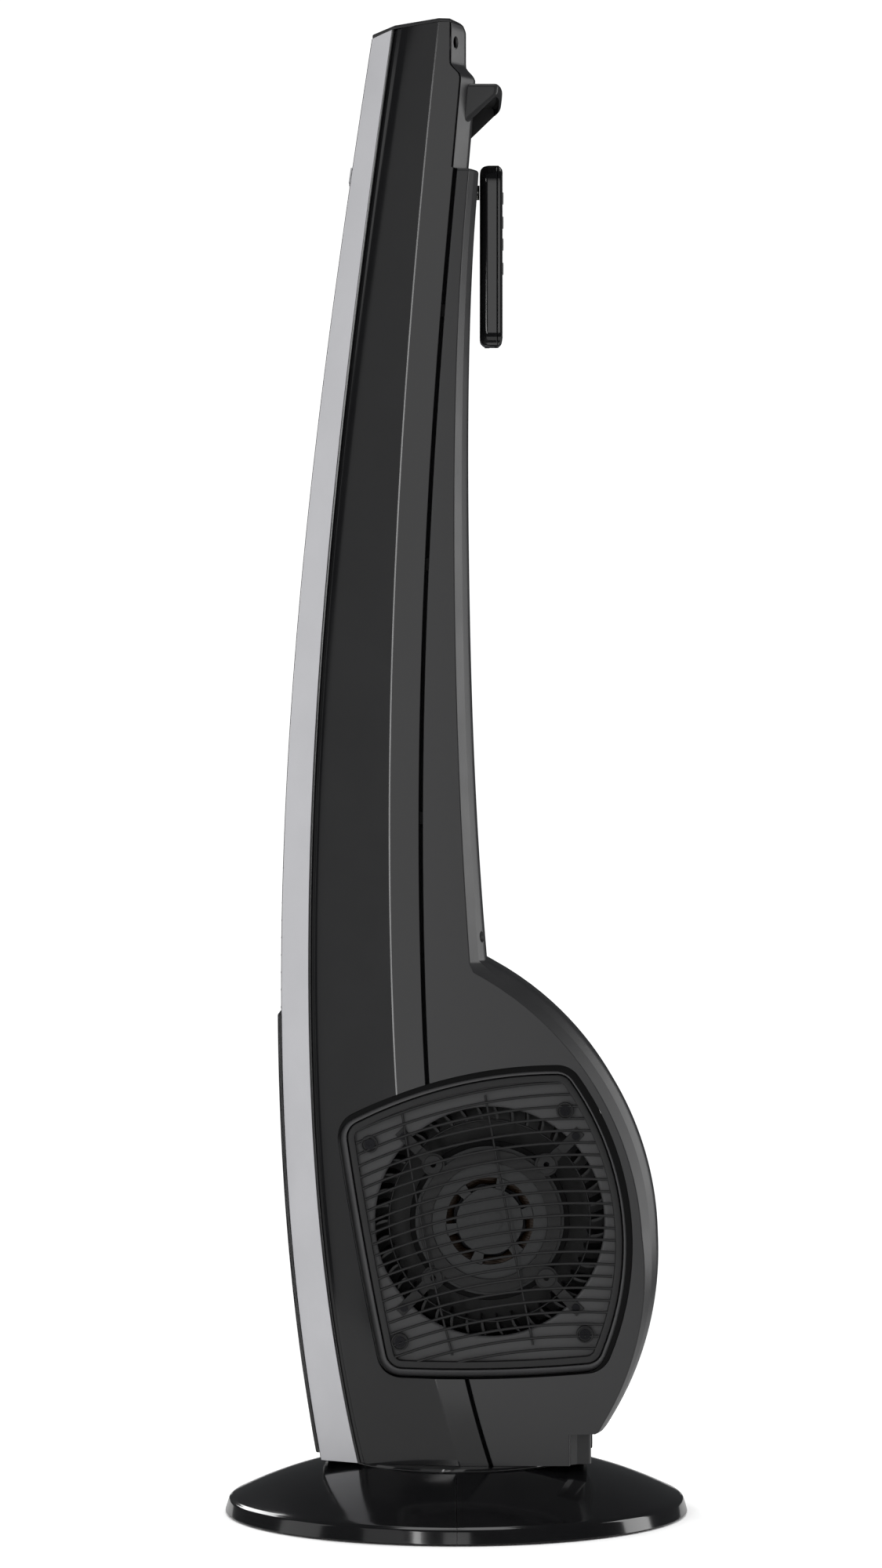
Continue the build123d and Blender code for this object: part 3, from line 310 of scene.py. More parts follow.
@dataclass
class Shape:
    """Vertices in millimetres and the faces between them."""

    verts: list[Vector] = field(default_factory=list)
    faces: list[tuple[int, ...]] = field(default_factory=list)

    def add(self, other: "Shape") -> "Shape":
        """Add another shape's faces to this one.

        Args:
            other: the shape that is added.

        Returns:
            This shape.
        """
        base = len(self.verts)
        self.verts += other.verts
        self.faces += [tuple(i + base for i in f) for f in other.faces]
        return self

    def mirrored(self) -> "Shape":
        """Return the shape mirrored across X = 0."""
        flipped = [Vector((-v.x, v.y, v.z)) for v in self.verts]
        return Shape(flipped, [tuple(reversed(f)) for f in self.faces])

    def with_mirror(self) -> "Shape":
        """Return the shape together with its mirror image."""
        return Shape(list(self.verts), list(self.faces)).add(self.mirrored())


def loft(rings: Sequence[Ring], ends: bool = True, loop: bool = False) -> Shape:
    """Skin a row of rings that have the same number of points.

    Args:
        rings: the closed rings, in order.
        ends: whether the first and last rings are closed with a face.
        loop: whether the last ring joins the first one.

    Returns:
        The skinned shape.
    """
    count = len(rings[0])
    verts = [p for ring in rings for p in ring]
    faces: list[tuple[int, ...]] = []
    rows = len(rings) if loop else len(rings) - 1
    for k in range(rows):
        a, b = k * count, (k + 1) % len(rings) * count
        for i in range(count):
            j = (i + 1) % count
            faces.append((a + i, a + j, b + j, b + i))
    if ends and not loop:
        faces.append(tuple(reversed(range(count))))
        faces.append(tuple(range((len(rings) - 1) * count, len(rings) * count)))
    return Shape(verts, faces)


def flipped(corners: Sequence[Corner]) -> list[Corner]:
    """Return the corners mirrored across X = 0, in the opposite order."""
    return [(Vector((-p.x, p.y, p.z)), radius) for p, radius in reversed(corners)]


def level_corners(z: float, *corners: tuple[float, float, float]) -> list[Corner]:
    """Return corners (x, y, rounding radius) as points at one height, with their radii."""
    return [(Vector((x, y, z)), radius) for x, y, radius in corners]


def rounded(corners: Sequence[Corner], steps: int = 4) -> Ring:
    """Round the corners of a closed outline.

    Args:
        corners: each corner with its rounding radius, or 0 for a sharp one.
        steps: points on each rounded corner.

    Returns:
        The outline's points; the number depends only on which radii are 0.
    """
    ring: Ring = []
    for i, (corner, radius) in enumerate(corners):
        if radius <= 0:
            ring.append(corner.copy())
            continue
        back = corners[i - 1][0] - corner
        on = corners[(i + 1) % len(corners)][0] - corner
        angle = back.angle(on, math.pi)
        reach = min(radius / max(math.tan(angle / 2), SHARPEST), *(
            LONGEST_REACH * side.length for side in (back, on)))
        start, end = corner + back.normalized() * reach, corner + on.normalized() * reach
        for k in range(steps):
            t = k / (steps - 1)
            ring.append(start * (1 - t) ** 2 + corner * (2 * t * (1 - t)) + end * t ** 2)
    return ring


def lathe(profile: Sequence[Pair], steps: int, start: float = 0.0, sweep: float = 360.0,
          axis: str = "z", centre: Pair = (0.0, 0.0)) -> Shape:
    """Turn a closed profile round an axis.

    Args:
        profile: (radius, height along the axis) of the closed outline.
        steps: sections round the turn.
        start: first angle in degrees.
        sweep: how far it turns in degrees.
        axis: "z", "y" or "x".
        centre: where the axis runs, in the other two coordinates.

    Returns:
        The turned shape, closed at its two ends if it isn't a full turn.
    """
    full = sweep >= 360.0
    rings = []
    for k in range(steps if full else steps + 1):
        angle = math.radians(start + sweep * k / steps)
        c, s = math.cos(angle), math.sin(angle)
        ring = []
        for r, h in profile:
            u, v = centre[0] + r * c, centre[1] + r * s
            ring.append(Vector({"z": (u, v, h), "x": (h, u, v), "y": (u, h, v)}[axis]))
        rings.append(ring)
    return loft(rings, ends=not full, loop=full)


def natural_curve(points: Sequence[Pair], per_span: int = 24) -> np.ndarray:
    """Smooth curve through points, by cubic splines over the chord length.

    Args:
        points: points in order.
        per_span: samples between two points.

    Returns:
        Samples as rows.
    """
    p = np.array(points, float)
    t = np.concatenate([[0.0], np.cumsum(np.linalg.norm(np.diff(p, axis=0), axis=1))])
    n = len(p)
    h = np.diff(t)
    a, b = np.zeros((n, n)), np.zeros((n, p.shape[1]))
    a[0, :3] = [h[1], -(h[0] + h[1]), h[0]]
    a[-1, -3:] = [h[-1], -(h[-2] + h[-1]), h[-2]]
    for i in range(1, n - 1):
        a[i, i - 1:i + 2] = [h[i - 1], 2 * (h[i - 1] + h[i]), h[i]]
        b[i] = 6 * ((p[i + 1] - p[i]) / h[i] - (p[i] - p[i - 1]) / h[i - 1])
    m = np.linalg.solve(a, b)
    rows = []
    for i in range(n - 1):
        for s in np.linspace(0, 1, per_span, endpoint=i == n - 2):
            u, v = (1 - s) * h[i], s * h[i]
            rows.append((m[i] * u ** 3 + m[i + 1] * v ** 3) / (6 * h[i])
                        + (p[i] / h[i] - m[i] * h[i] / 6) * u
                        + (p[i + 1] / h[i] - m[i + 1] * h[i] / 6) * v)
    return np.array(rows)


def circle_through(a: Sequence[float], b: Sequence[float],
                   c: Sequence[float]) -> tuple[np.ndarray, float]:
    """Find the circle through three points.

    Args:
        a: the first point.
        b: the second one.
        c: the third one.

    Returns:
        Its centre and radius.
    """
    rows = 2 * np.array([[b[0] - a[0], b[1] - a[1]], [c[0] - a[0], c[1] - a[1]]])
    right = np.array([b[0] ** 2 + b[1] ** 2 - a[0] ** 2 - a[1] ** 2,
                      c[0] ** 2 + c[1] ** 2 - a[0] ** 2 - a[1] ** 2])
    centre = np.linalg.solve(rows, right)
    return centre, float(np.linalg.norm(centre - np.array(a)))


def arc_points(a: Sequence[float], b: Sequence[float], c: Sequence[float],
               count: int = 40) -> np.ndarray:
    """Place points along an arc.

    Args:
        a: its start.
        b: a point on the way.
        c: its end.
        count: number of points.

    Returns:
        The points, as rows.
    """
    centre, radius = circle_through(a, b, c)
    angles = [math.atan2(p[1] - centre[1], p[0] - centre[0]) for p in (a, b, c)]
    full = 2 * math.pi
    turn, way = (angles[2] - angles[0]) % full, (angles[1] - angles[0]) % full
    turn = turn if way <= turn else turn - full
    steps = angles[0] + np.linspace(0, turn, count)
    return centre + radius * np.column_stack([np.cos(steps), np.sin(steps)])


def height_line(samples: np.ndarray) -> Line:
    """Turn samples along a line into a function of height.

    Args:
        samples: (y, z) of each sample, as rows.

    Returns:
        y as a function of z.
    """
    order = np.argsort(samples[:, 1], kind="stable")
    z, y = samples[order, 1], samples[order, 0]
    return lambda height: float(np.interp(height, z, y))


# ------ pieces
# Points closer than this are one point, in metres; CAD meshes come less exact than the built ones.
WELD = 2e-6
CAD_WELD = 4e-6
DEGENERATE = 1e-6
# CAD edges sharper than this are softened, in degrees.
SOFTENED = 40


def clean_mesh(name: str, shape: Shape) -> bpy.types.Mesh:
    """Make a Blender mesh from a shape, with welded points and outward faces.

    Args:
        name: name of the mesh.
        shape: the shape, in millimetres.

    Returns:
        The mesh, in metres.
    """
    mesh = bpy.data.meshes.new(name)
    mesh.from_pydata([tuple(v * MM) for v in shape.verts], [], shape.faces)
    build = bmesh.new()
    build.from_mesh(mesh)
    bmesh.ops.remove_doubles(build, verts=build.verts, dist=WELD)
    bmesh.ops.dissolve_degenerate(build, edges=build.edges, dist=DEGENERATE)
    bmesh.ops.recalc_face_normals(build, faces=build.faces)
    build.to_mesh(mesh)
    build.free()
    return mesh


def put(name: str, data: bpy.types.ID) -> bpy.types.Object:
    """Put an object with this mesh, light or camera into the scene.

    Args:
        name: its name.
        data: what it shows.

    Returns:
        The object.
    """
    made = bpy.data.objects.new(name, data)
    bpy.context.scene.collection.objects.link(made)
    return made


def smooth(mesh: bpy.types.Mesh, degrees: float) -> None:
    """Shade a mesh smooth, but keep edges sharper than an angle."""
    mesh.shade_smooth()
    mesh.set_sharp_from_angle(angle=math.radians(degrees))


def even(piece: bpy.types.Object) -> None:
    """Let the large faces of a piece shade flat, so that only its roundings curve the light."""
    step = piece.modifiers.new("even_shading", "WEIGHTED_NORMAL")
    step.keep_sharp = True


def applied(piece: bpy.types.Object) -> bpy.types.Mesh:
    """Work out a mesh with its modifiers applied.

    Args:
        piece: the object.

    Returns:
        The new mesh.
    """
    bpy.context.view_layer.update()
    graph = bpy.context.evaluated_depsgraph_get()
    return bpy.data.meshes.new_from_object(piece.evaluated_get(graph))


@dataclass
class Assembly:
    """A group of pieces that ride on one CAD body; edges sharper than sharp stay sharp."""

    body: str = "tower"
    sharp: float = 35.0

    def piece(self, name: str, shape: Shape, finish: Finish, stands_for: Sequence[str], slot: str,
              sharp: float | None = None, body: str | None = None) -> bpy.types.Object:
        """Make a visible piece and put it on its body.

        Args:
            name: name of the piece.
            shape: its shape, in millimetres.
            finish: its finish.
            stands_for: CAD nodes that it replaces.
            slot: material slot of the record; not used.
            sharp: angle in degrees, where it isn't the assembly's own.
            body: the CAD body, where it isn't the assembly's own.

        Returns:
            The new object.
        """
        made = put(name, clean_mesh(name, shape))
        smooth(made.data, sharp or self.sharp)
        even(made)
        made.data.materials.append(SHOP.get(finish))
        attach(made, body or self.body)
        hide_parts(*stands_for)
        LOG.info("%s: %d faces", name, len(made.data.polygons))
        return made

    def cut(self, piece: bpy.types.Object, tool: Shape, sharp: float | None = None) -> None:
        """Cut a shape out of a piece and shade what is left.

        Args:
            piece: the object that is cut.
            tool: the shape that is taken out, in millimetres.
            sharp: angle in degrees, where it isn't the assembly's own.
        """
        piece.modifiers.clear()
        cutter = put("cutter", clean_mesh("cutter", tool))
        step = piece.modifiers.new("cut", "BOOLEAN")
        step.object, step.operation, step.solver = cutter, "DIFFERENCE", "EXACT"
        piece.data = applied(piece)
        piece.modifiers.clear()
        bpy.data.objects.remove(cutter)
        smooth(piece.data, sharp or self.sharp)
        even(piece)

    def dress(self, nodes: Sequence[str], finish: Finish, edge_mm: float = 0.0) -> None:
        """Give CAD nodes a finish, and softened edges where they show.

        Args:
            nodes: names of the CAD nodes.
            finish: the finish for all of them.
            edge_mm: width of the softened edges, or 0 for none.
        """
        for name in nodes:
            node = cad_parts[name]
            for place in node.material_slots:
                place.material = SHOP.get(finish)
            if not node.material_slots:
                node.data.materials.append(SHOP.get(finish))
            weld = node.modifiers.new("weld", "WELD")
            weld.merge_threshold = CAD_WELD
            if edge_mm:
                bevel = node.modifiers.new("soft_edges", "BEVEL")
                bevel.width, bevel.segments = edge_mm * MM, 2
                bevel.limit_method, bevel.angle_limit = "ANGLE", math.radians(SOFTENED)
                bevel.harden_normals = True
            LOG.info("%s dressed in %s", name, finish.name)


# ------ tower lines
@dataclass
class TowerLines:
    """The long lines up the tower's side, as (y, z) points, and the section widths.

    The shell ends shell_drop below the crowned cap. Folds say how far the rear crease lies inside
    the back's points.
    """

    face_x: float = 36.0
    trim_x: float = 55.0
    side_x: float = 72.0
    floor_z: float = 46.8
    ledge_z: float = 1098.0
    top_z: float = 1219.0
    lift_z: float = 1185.0
    crown_radius: float = 180.0
    crown_y: float = -15.0
    crown_tries: int = 3
    close_steps: tuple[float, ...] = (-1.2, -0.4, 0.4, 1.2)
    close_clear: float = 1.6
    shell_drop: float = 3.4
    band: float = 25.0
    notch_z: float = 455.5
    heights: tuple[float, ...] = (40.0, 217.0, 430.0, 777.2)
    front_y: tuple[float, ...] = (-109.6, -134.0, -143.3, -125.6, -68.6)
    trim_y: tuple[float, ...] = (-76.7, -107.3, -118.7, -103.5, -50.6)
    ridge_y: tuple[float, ...] = (4.8, -35.8, -52.3, -49.4, -14.0)
    back_points: tuple[Pair, ...] = (
        (18.2, 1098.0), (13.5, 1030.0), (10.0, 802.6), (14.5, 620.5), (25.1, 455.5))
    back_folds: tuple[Pair, ...] = ((8, 0), (9, 0), (12, 0), (13, 0), (14, 8))
    bulge_points: tuple[Pair, ...] = (
        (25.1, 455.5), (128.7, 357.8), (164.0, 232.0), (154.0, 147.0), (122.0, 77.5),
        (118.8, 73.6), (117.0, 72.6), (116.0, 72.3))
    bulge_folds: tuple[Pair, ...] = (
        (14, 8), (13, 10), (14, 0), (8, 0), (3, -4), (3, -2), (3.4, -0.6), (3.8, -0.2))
    step_back: tuple[Pair, ...] = (
        (9.2, 1098.0), (15.2, 1168.0), (15.3, 1170.6), (14.2, 1173.6), (9.6, 1178.6),
        (8.1, 1180.8), (7.8, 1183.4), (7.8, 1208.5), (7.3, 1211.4), (6.0, 1214.0))
    step_crease: tuple[Pair, ...] = (
        (-3.6, 1098.0), (2.9, 1169.6), (2.7, 1172.4), (1.6, 1174.6), (-3.9, 1180.2),
        (-5.1, 1182.2), (-5.2, 1184.6), (-4.8, 1230.0))

    def __post_init__(self) -> None:
        """Work out the lines as functions of height."""
        self.front, self.trim, self.ridge = (
            self.long_line(ys) for ys in (self.front_y, self.trim_y, self.ridge_y))
        flat = [(0.0, 0.0)] * 8
        self.back = self.rear_line(flat[:5], flat)
        self.crease = self.rear_line(self.back_folds, self.bulge_folds)
        self.top_back = height_line(np.array(self.step_back))
        self.top_crease = height_line(np.array(self.step_crease))

    def crown(self, y: float) -> float:
        """Return the height of the crowned top at y."""
        inside = self.crown_radius ** 2 - (y - self.crown_y) ** 2
        return self.top_z - self.crown_radius + math.sqrt(inside)

    def long_line(self, ys: Sequence[float]) -> Line:
        """Return the line through the given y values, the last of them on the crown."""
        zs = [*self.heights, self.crown(ys[-1])]
        return height_line(natural_curve(list(zip(ys, zs))))

    def rear_line(self, folds: Sequence[Pair], bulge_folds: Sequence[Pair]) -> Line:
        """Draw the rear line, moved in by the folds.

        Args:
            folds: step in (y, z) for each point of the tower's back.
            bulge_folds: the same for each point of the blower bulge.

        Returns:
            y as a function of z.
        """
        back = [(p[0] - f[0], p[1] - f[1]) for p, f in zip(self.back_points, folds)]
        bulge = [(p[0] - f[0], p[1] - f[1]) for p, f in zip(self.bulge_points, bulge_folds)]
        parts = [natural_curve(back), arc_points(*bulge[0:3])[1:], arc_points(*bulge[2:5])[1:],
                 np.array(bulge[5:])]
        return height_line(np.vstack(parts))

    def at(self, x: float, line: Line, z: float, drop: float = 0.0, push: float = 0.0) -> Vector:
        """Place a point on a line; near the top the heights bend to follow the crown.

        Args:
            x: place across the tower.
            line: one of the long lines.
            z: nominal height, up to top_z.
            drop: how far below the crown the highest point stays.
            push: added to y.

        Returns:
            The point.
        """
        height = z
        if z > self.lift_z:
            share = (z - self.lift_z) / (self.top_z - self.lift_z)
            for _ in range(self.crown_tries):
                height = self.lift_z + share * (self.crown(line(height)) - drop - self.lift_z)
        return Vector((x, line(height) + push, height))

    def shell(self, x: float, line: Line, z: float, push: float = 0.0) -> Vector:
        """Return the shell's point on a line, which stays below the cap."""
        return self.at(x, line, z, self.shell_drop, push)

    def corners(self, z: float) -> tuple[Vector, Vector, Vector]:
        """Return the shell's front, trim and ridge corners at a height."""
        return (self.shell(self.face_x, self.front, z), self.shell(self.trim_x, self.trim, z),
                self.shell(self.side_x, self.ridge, z))

    def levels(self, low: float, high: float, step: float,
               extra: Sequence[float] = ()) -> list[float]:
        """Space section heights evenly, with extra ones close round each corner.

        Args:
            low: the first height.
            high: the last height.
            step: largest distance between two.
            extra: heights of the corners.

        Returns:
            The heights, upwards.
        """
        count = max(2, int((high - low) / step))
        zs = {round(low + (high - low) * i / count, 3) for i in range(count + 1)}
        for z in extra:
            near = {z + d for d in self.close_steps if low < z + d < high}
            zs = {v for v in zs if abs(v - z) > self.close_clear or v in (low, high)} | near
        return sorted(zs)


LINES = TowerLines()


def across(a: Vector, b: Vector) -> tuple[Vector, Vector]:
    """Return the level direction from a to b and the one square to it, into the tower."""
    along = Vector((b.x - a.x, b.y - a.y, 0)).normalized()
    return along, Vector((-along.y, along.x, 0))


# ------ intake outline
@dataclass
class TrayOutline:
    """Rounded outline of the intake recess, with four bowed sides, in (y, z)."""

    corners: tuple[Pair, ...] = ((-98, 324), (92, 371), (119, 123), (-61, 119))
    middles: tuple[Pair, ...] = ((-5, 360.5), (141, 250), (30, 117.5), (-81, 220))
    corner_radius: float = 21.0
    per_corner: int = 9
    per_side: int = 22

    def __post_init__(self) -> None:
        """Work out the outline's points and their outward normals."""
        circles = [circle_through(self.corners[i], self.middles[i], self.corners[(i + 1) % 4])
                   for i in range(4)]
        self.points: list[np.ndarray] = []
        self.normals: list[np.ndarray] = []
        folds = [self.fold(circles[i - 1], circles[i], np.array(self.corners[i])) for i in range(4)]
        for i, (centre, first, last) in enumerate(folds):
            self.run(centre, self.corner_radius, first, last, self.per_corner)
            side_centre, side_radius = circles[i]
            self.run(side_centre, side_radius, last, folds[(i + 1) % 4][1], self.per_side)

    def fold(self, before: tuple[np.ndarray, float], after: tuple[np.ndarray, float],
             near: np.ndarray) -> tuple[np.ndarray, np.ndarray, np.ndarray]:
        """Find where a corner is rounded.

        Args:
            before: centre and radius of the side before it.
            after: centre and radius of the side after it.
            near: the sharp corner.

        Returns:
            The rounding's centre, start and end.
        """
        (c0, r0), (c1, r1) = before, after
        r0, r1 = r0 - self.corner_radius, r1 - self.corner_radius
        gap = np.linalg.norm(c1 - c0)
        along = (r0 ** 2 - r1 ** 2 + gap ** 2) / (2 * gap)
        lift = math.sqrt(r0 ** 2 - along ** 2)
        unit = (c1 - c0) / gap
        side = np.array([-unit[1], unit[0]])
        centre = min((c0 + unit * along + side * s * lift for s in (-1, 1)),
                     key=lambda c: np.linalg.norm(c - near))
        ends = [c + (centre - c) / np.linalg.norm(centre - c) * (r + self.corner_radius)
                for c, r in ((c0, r0), (c1, r1))]
        return centre, ends[0], ends[1]

    def run(self, centre: np.ndarray, radius: float, first: np.ndarray, last: np.ndarray,
            count: int) -> None:
        """Add the points of an arc, without its last one.

        Args:
            centre: its centre.
            radius: its radius.
            first: where it starts.
            last: where it ends.
            count: number of points.
        """
        a0, a1 = (math.atan2(p[1] - centre[1], p[0] - centre[0]) for p in (first, last))
        turn = (a1 - a0 + math.pi) % (2 * math.pi) - math.pi
        for k in range(count):
            angle = a0 + turn * k / count
            normal = np.array([math.cos(angle), math.sin(angle)])
            self.points.append(centre + radius * normal)
            self.normals.append(normal)

    def ring(self, inset: float, x: float) -> Ring:
        """Return the outline at an inset, at a place across the tower."""
        return [Vector((x, *(p - n * inset))) for p, n in zip(self.points, self.normals)]

    def circle(self, centre: Pair, radius: float, x: float) -> Ring:
        """Draw a circle whose points match the outline's, one for one.

        Args:
            centre: its centre in (y, z).
            radius: its radius.
            x: its place across the tower.

        Returns:
            The points.
        """
        ring = []
        for p in self.points:
            angle = math.atan2(p[1] - centre[1], p[0] - centre[0])
            ring.append(Vector((x, centre[0] + radius * math.cos(angle),
                                centre[1] + radius * math.sin(angle))))
        return ring

    def holds(self, y: float, z: float, inset: float) -> bool:
        """Test whether a point lies inside the outline.

        Args:
            y: its place from front to back.
            z: its height.
            inset: how far inside it has to lie.

        Returns:
            Whether it does.
        """
        spot = np.array([y, z])
        nearest = min(range(len(self.points)),
                      key=lambda i: float(np.sum((self.points[i] - spot) ** 2)))
        return float((self.points[nearest] - spot) @ self.normals[nearest]) >= inset


TRAY = TrayOutline()
AXLE = (27.0, 243.7)


# ------ tower shell
@dataclass
class TowerShell(Assembly):
    """Front and rear housings, top cap and edge trims."""

    sharp: float = 28.0
    back_sharp: float = 40.0
    edge_sharp: float = 35.0
    opening_x: float = 33.5
    wall: float = 2.5
    side_bow: float = 0.8
    bow_at: tuple[float, ...] = (0.2, 0.35, 0.5, 0.7, 0.88)
    lap: float = 1.0
    tongue: float = 5.0
    top_tongue: float = 2.6
    bead: float = 2.3
    step: float = 9.0
    fine_step: float = 2.0
    rear_step: float = 7.0
    trim_step: float = 12.0
    plate_step: float = 20.0
    recess_x: float = 56.0
    groove: float = 3.0
    rear_round: float = 2.6
    strip_bow: float = 0.4
    block_z: float = 72.2
    block_y: float = 91.5
    block_fold: Pair = (62.5, 93.1)
    block_back: Pair = (58.0, 109.4)
    block_rounds: Pair = (4.0, 1.0)
    rear_rounds: Pair = (13.0, 5.0)
    block_span: Pair = (70.0, 86.0)
    block_levels: tuple[float, ...] = (71.0, 72.1, 72.4, 72.8, 73.6, 75.5, 77.5, 79.5, 81.5, 84.0)
    rear_top_shares: tuple[float, ...] = (1.0, 0.8, 0.6, 0.4, 0.25, 0.12, 0.04, 0.0)
    rear_gap: float = 0.4
    fine_z: float = 1165.0
    lower_face_top: float = 411.5
    upper_face_low: float = 1196.5
    top_well: tuple[float, float, float] = (66.3, 1199.6, 2.7)
    low_well: tuple[float, float, float] = (58.6, 474.6, 2.4)
    oval: float = 1.95
    well_depth: float = 13.0
    well_reach: float = 40.0
    cap_half: float = 71.9
    cap_middle: float = -32.0
    cap_bend: float = -5.0
    cap_blend: float = 12.0
    cap_levels: tuple[tuple[float, float, float], ...] = (
        (0.0, 3.0, 3.0), (0.6, 3.0, 3.0), (0.94, 3.0, 3.0), (1.0, 3.0, 2.0), (1.0, 2.0, 3.0),
        (1.0, 1.2, 4.2), (0.996, 0.5, 5.4), (0.984, 0.12, 6.5), (0.965, 0.0, 7.0),
        (0.8, 0.0, 7.0), (0.6, 0.0, 7.0), (0.4, 0.0, 7.0), (0.2, 0.0, 7.0), (0.0, 0.0, 7.0))

    def side_section(self, z: float) -> Ring:
        """Draw the right side panel's section: pocket, bead, panel, ridge, band and tongue.

        Args:
            z: nominal height of the section.

        Returns:
            The section's points.
        """
        a, c, d = LINES.corners(z)
        above = z > LINES.ledge_z
        band_y = LINES.top_crease(d.z) - 0.25 if above else d.y + LINES.band - self.lap
        g = Vector((LINES.side_x, band_y, d.z))
        u1, n1 = across(a, c)
        u2, n2 = across(c, d)
        bows = [(c + (d - c) * t - n2 * (self.side_bow * 4 * t * (1 - t)), 0.0)
                for t in self.bow_at]
        tongue = g.y + (self.top_tongue if above else self.tongue)
        lip = c - u1 * self.bead + n1 * 0.15
        corners = [
            (Vector((self.opening_x, a.y + 0.1, a.z)), 0.5), (a, 0.3),
            (a + n1 * 3.0 + u1 * 0.1, 0.2), (c - u1 * (self.bead + 0.5) + n1 * 3.0, 0.2),
            (c - u1 * (self.bead + 0.2) + n1 * 0.6, 0.2),
            (lip, 0.35), (lip + Vector((0.3, self.bead - 0.4, 0)), 0.35),
            (lip + Vector((-1.6, self.bead - 0.3, 0)), 0.2),
            (c + u2 * 2.6 + n2 * 2.8, 0.2), (c + u2 * 3.2 + n2 * 0.75, 0.8),
            (c + u2 * 5.5 + n2 * 0.2, 2.0),
            *bows, (d - u2 * 0.55, 0.2), (d + Vector((0, 0.6, 0)), 0.2),
            (g, 0.7), *level_corners(g.z, (67.0, g.y + 0.1, 0.2), (65.0, tongue, 0),
                                     (63.5, tongue, 0), (63.5, d.y + 3, 0)),
            (Vector((c.x - 5.2, c.y + 3.4, c.z)), 0), (Vector((self.opening_x, a.y + 5.6, a.z)), 0)]
        return rounded(corners)

    def back_section(self, z: float) -> Ring:
        """Draw the section of the front housing's own back, above the ledge.

        Args:
            z: nominal height of the section.

        Returns:
            The section's points.
        """
        crease = LINES.shell(LINES.side_x, LINES.top_crease, z, 0.25)
        back = LINES.shell(LINES.trim_x, LINES.top_back, z)
        half = [(Vector((68.5, crease.y + 0.3, crease.z)), 0), (crease, 0.8), (back, 9.0)]
        inner = [(Vector((53.5, back.y - 3.2, back.z)), 0),
                 (Vector((68.5, crease.y + 2.0, crease.z)), 0)]
        return self.whole(half, inner)

    def rear_section(self, z: float) -> Ring:
        """Draw the rear housing's section, from its right front edge round the back to the left.

        Args:
            z: height of the section.

        Returns:
            The section's points.
        """
        edge = LINES.ridge(z) + LINES.band + self.groove - self.lap
        past = max(0.0, z - LINES.ledge_z + self.rear_gap + self.rear_round)
        inset = self.rear_round - math.sqrt(max(0.0, self.rear_round ** 2 - past ** 2))
        side = LINES.side_x - inset
        crease = Vector((side, LINES.crease(z) - 0.6 * inset, z))
        back = Vector((LINES.trim_x, LINES.back(z) - inset, z))
        fold = (crease + back) / 2 + across(crease, back)[1] * -self.strip_bow
        back_round, fold_round = self.rear_rounds
        if z < self.block_z:
            crease, fold, back = (Vector((x, y, z)) for x, y in (
                (side, self.block_y), self.block_fold, self.block_back))
            back_round, fold_round = self.block_rounds
        outer = [*level_corners(z, (side - 2.1, edge - 0.1, 0.2), (side, edge, 0.9)),
                 (crease, 1.4), (fold, fold_round), (back, back_round)]
        inner_ys = (8.4, -1.6) if z > LINES.ledge_z - 1.0 else (back.y - 3.0, crease.y - 1.6)
        return self.whole(outer, level_corners(z, (54.0, inner_ys[0], 0), (68.0, inner_ys[1], 0)))

    def whole(self, outer: list[Corner], inner: list[Corner]) -> Ring:
        """Return a full section from its right half, outside first and then inside."""
        return rounded([*outer, *flipped(outer), *flipped(inner), *inner], steps=5)

    def plate(self, low: float, high: float) -> Shape:
        """Make the flat front of the housing between two heights.

        Args:
            low: the lower one.
            high: the upper one.

        Returns:
            The plate.
        """
        rings = []
        for z in LINES.levels(low, high, self.plate_step):
            p = LINES.shell(self.opening_x, LINES.front, z)
            rings.append([Vector((s * self.opening_x, p.y + push, p.z))
                          for s, push in ((-1, 0.1), (1, 0.1), (1, self.wall), (-1, self.wall))])
        return loft(rings)

    def recess(self) -> Shape:
        """Return the tool that cuts the intake recess out of both sides."""
        side = loft([TRAY.ring(-0.3, self.recess_x), TRAY.ring(-0.3, 90.0)])
        return side.with_mirror()

    def build_front(self) -> None:
        """Build the front housing: side panels, front plates and the back above the ledge."""
        levels = LINES.levels(LINES.floor_z, LINES.top_z, self.step, (LINES.ledge_z,))
        top_levels = LINES.levels(LINES.ledge_z, LINES.top_z, self.fine_step)
        levels = sorted({z for z in levels if z < self.fine_z}
                        | {z for z in top_levels if z >= self.fine_z})
        side = loft([self.side_section(z) for z in levels])
        for name, shape in (("right", side), ("left", side.mirrored())):
            panel = self.piece(f"front_housing_side_{name}", shape, SATIN_ABS, ["front_housing"],
                               "gloss_black")
            self.cut(panel, self.recess())
        back = self.piece("front_housing_back", loft([self.back_section(z) for z in top_levels]),
                          GRAINED_ABS, ["front_housing"], "gloss_black", self.back_sharp)
        self.cut(back, self.screw_wells(*self.top_well, LINES.top_back), self.back_sharp)
        face = self.plate(LINES.floor_z, self.lower_face_top)
        face.add(self.plate(self.upper_face_low, LINES.top_z))
        self.piece("front_housing_face", face, SATIN_ABS, ["front_housing"], "gloss_black")

    def screw_wells(self, x: float, z: float, radius: float, line: Line) -> Shape:
        """Make the tool that sinks an oval screw hole into both slanted rear strips.

        Args:
            x: how far from the middle the holes lie.
            z: their height.
            radius: half their width.
            line: the line of the back that they sink from.

        Returns:
            The tool.
        """
        floor = line(z) - self.well_depth
        turns = [2 * math.pi * k / 32 for k in range(32)]
        return loft([[Vector((x + radius * math.cos(a), y, z + self.oval * radius * math.sin(a)))
                      for a in turns] for y in (floor, floor + self.well_reach)]).with_mirror()

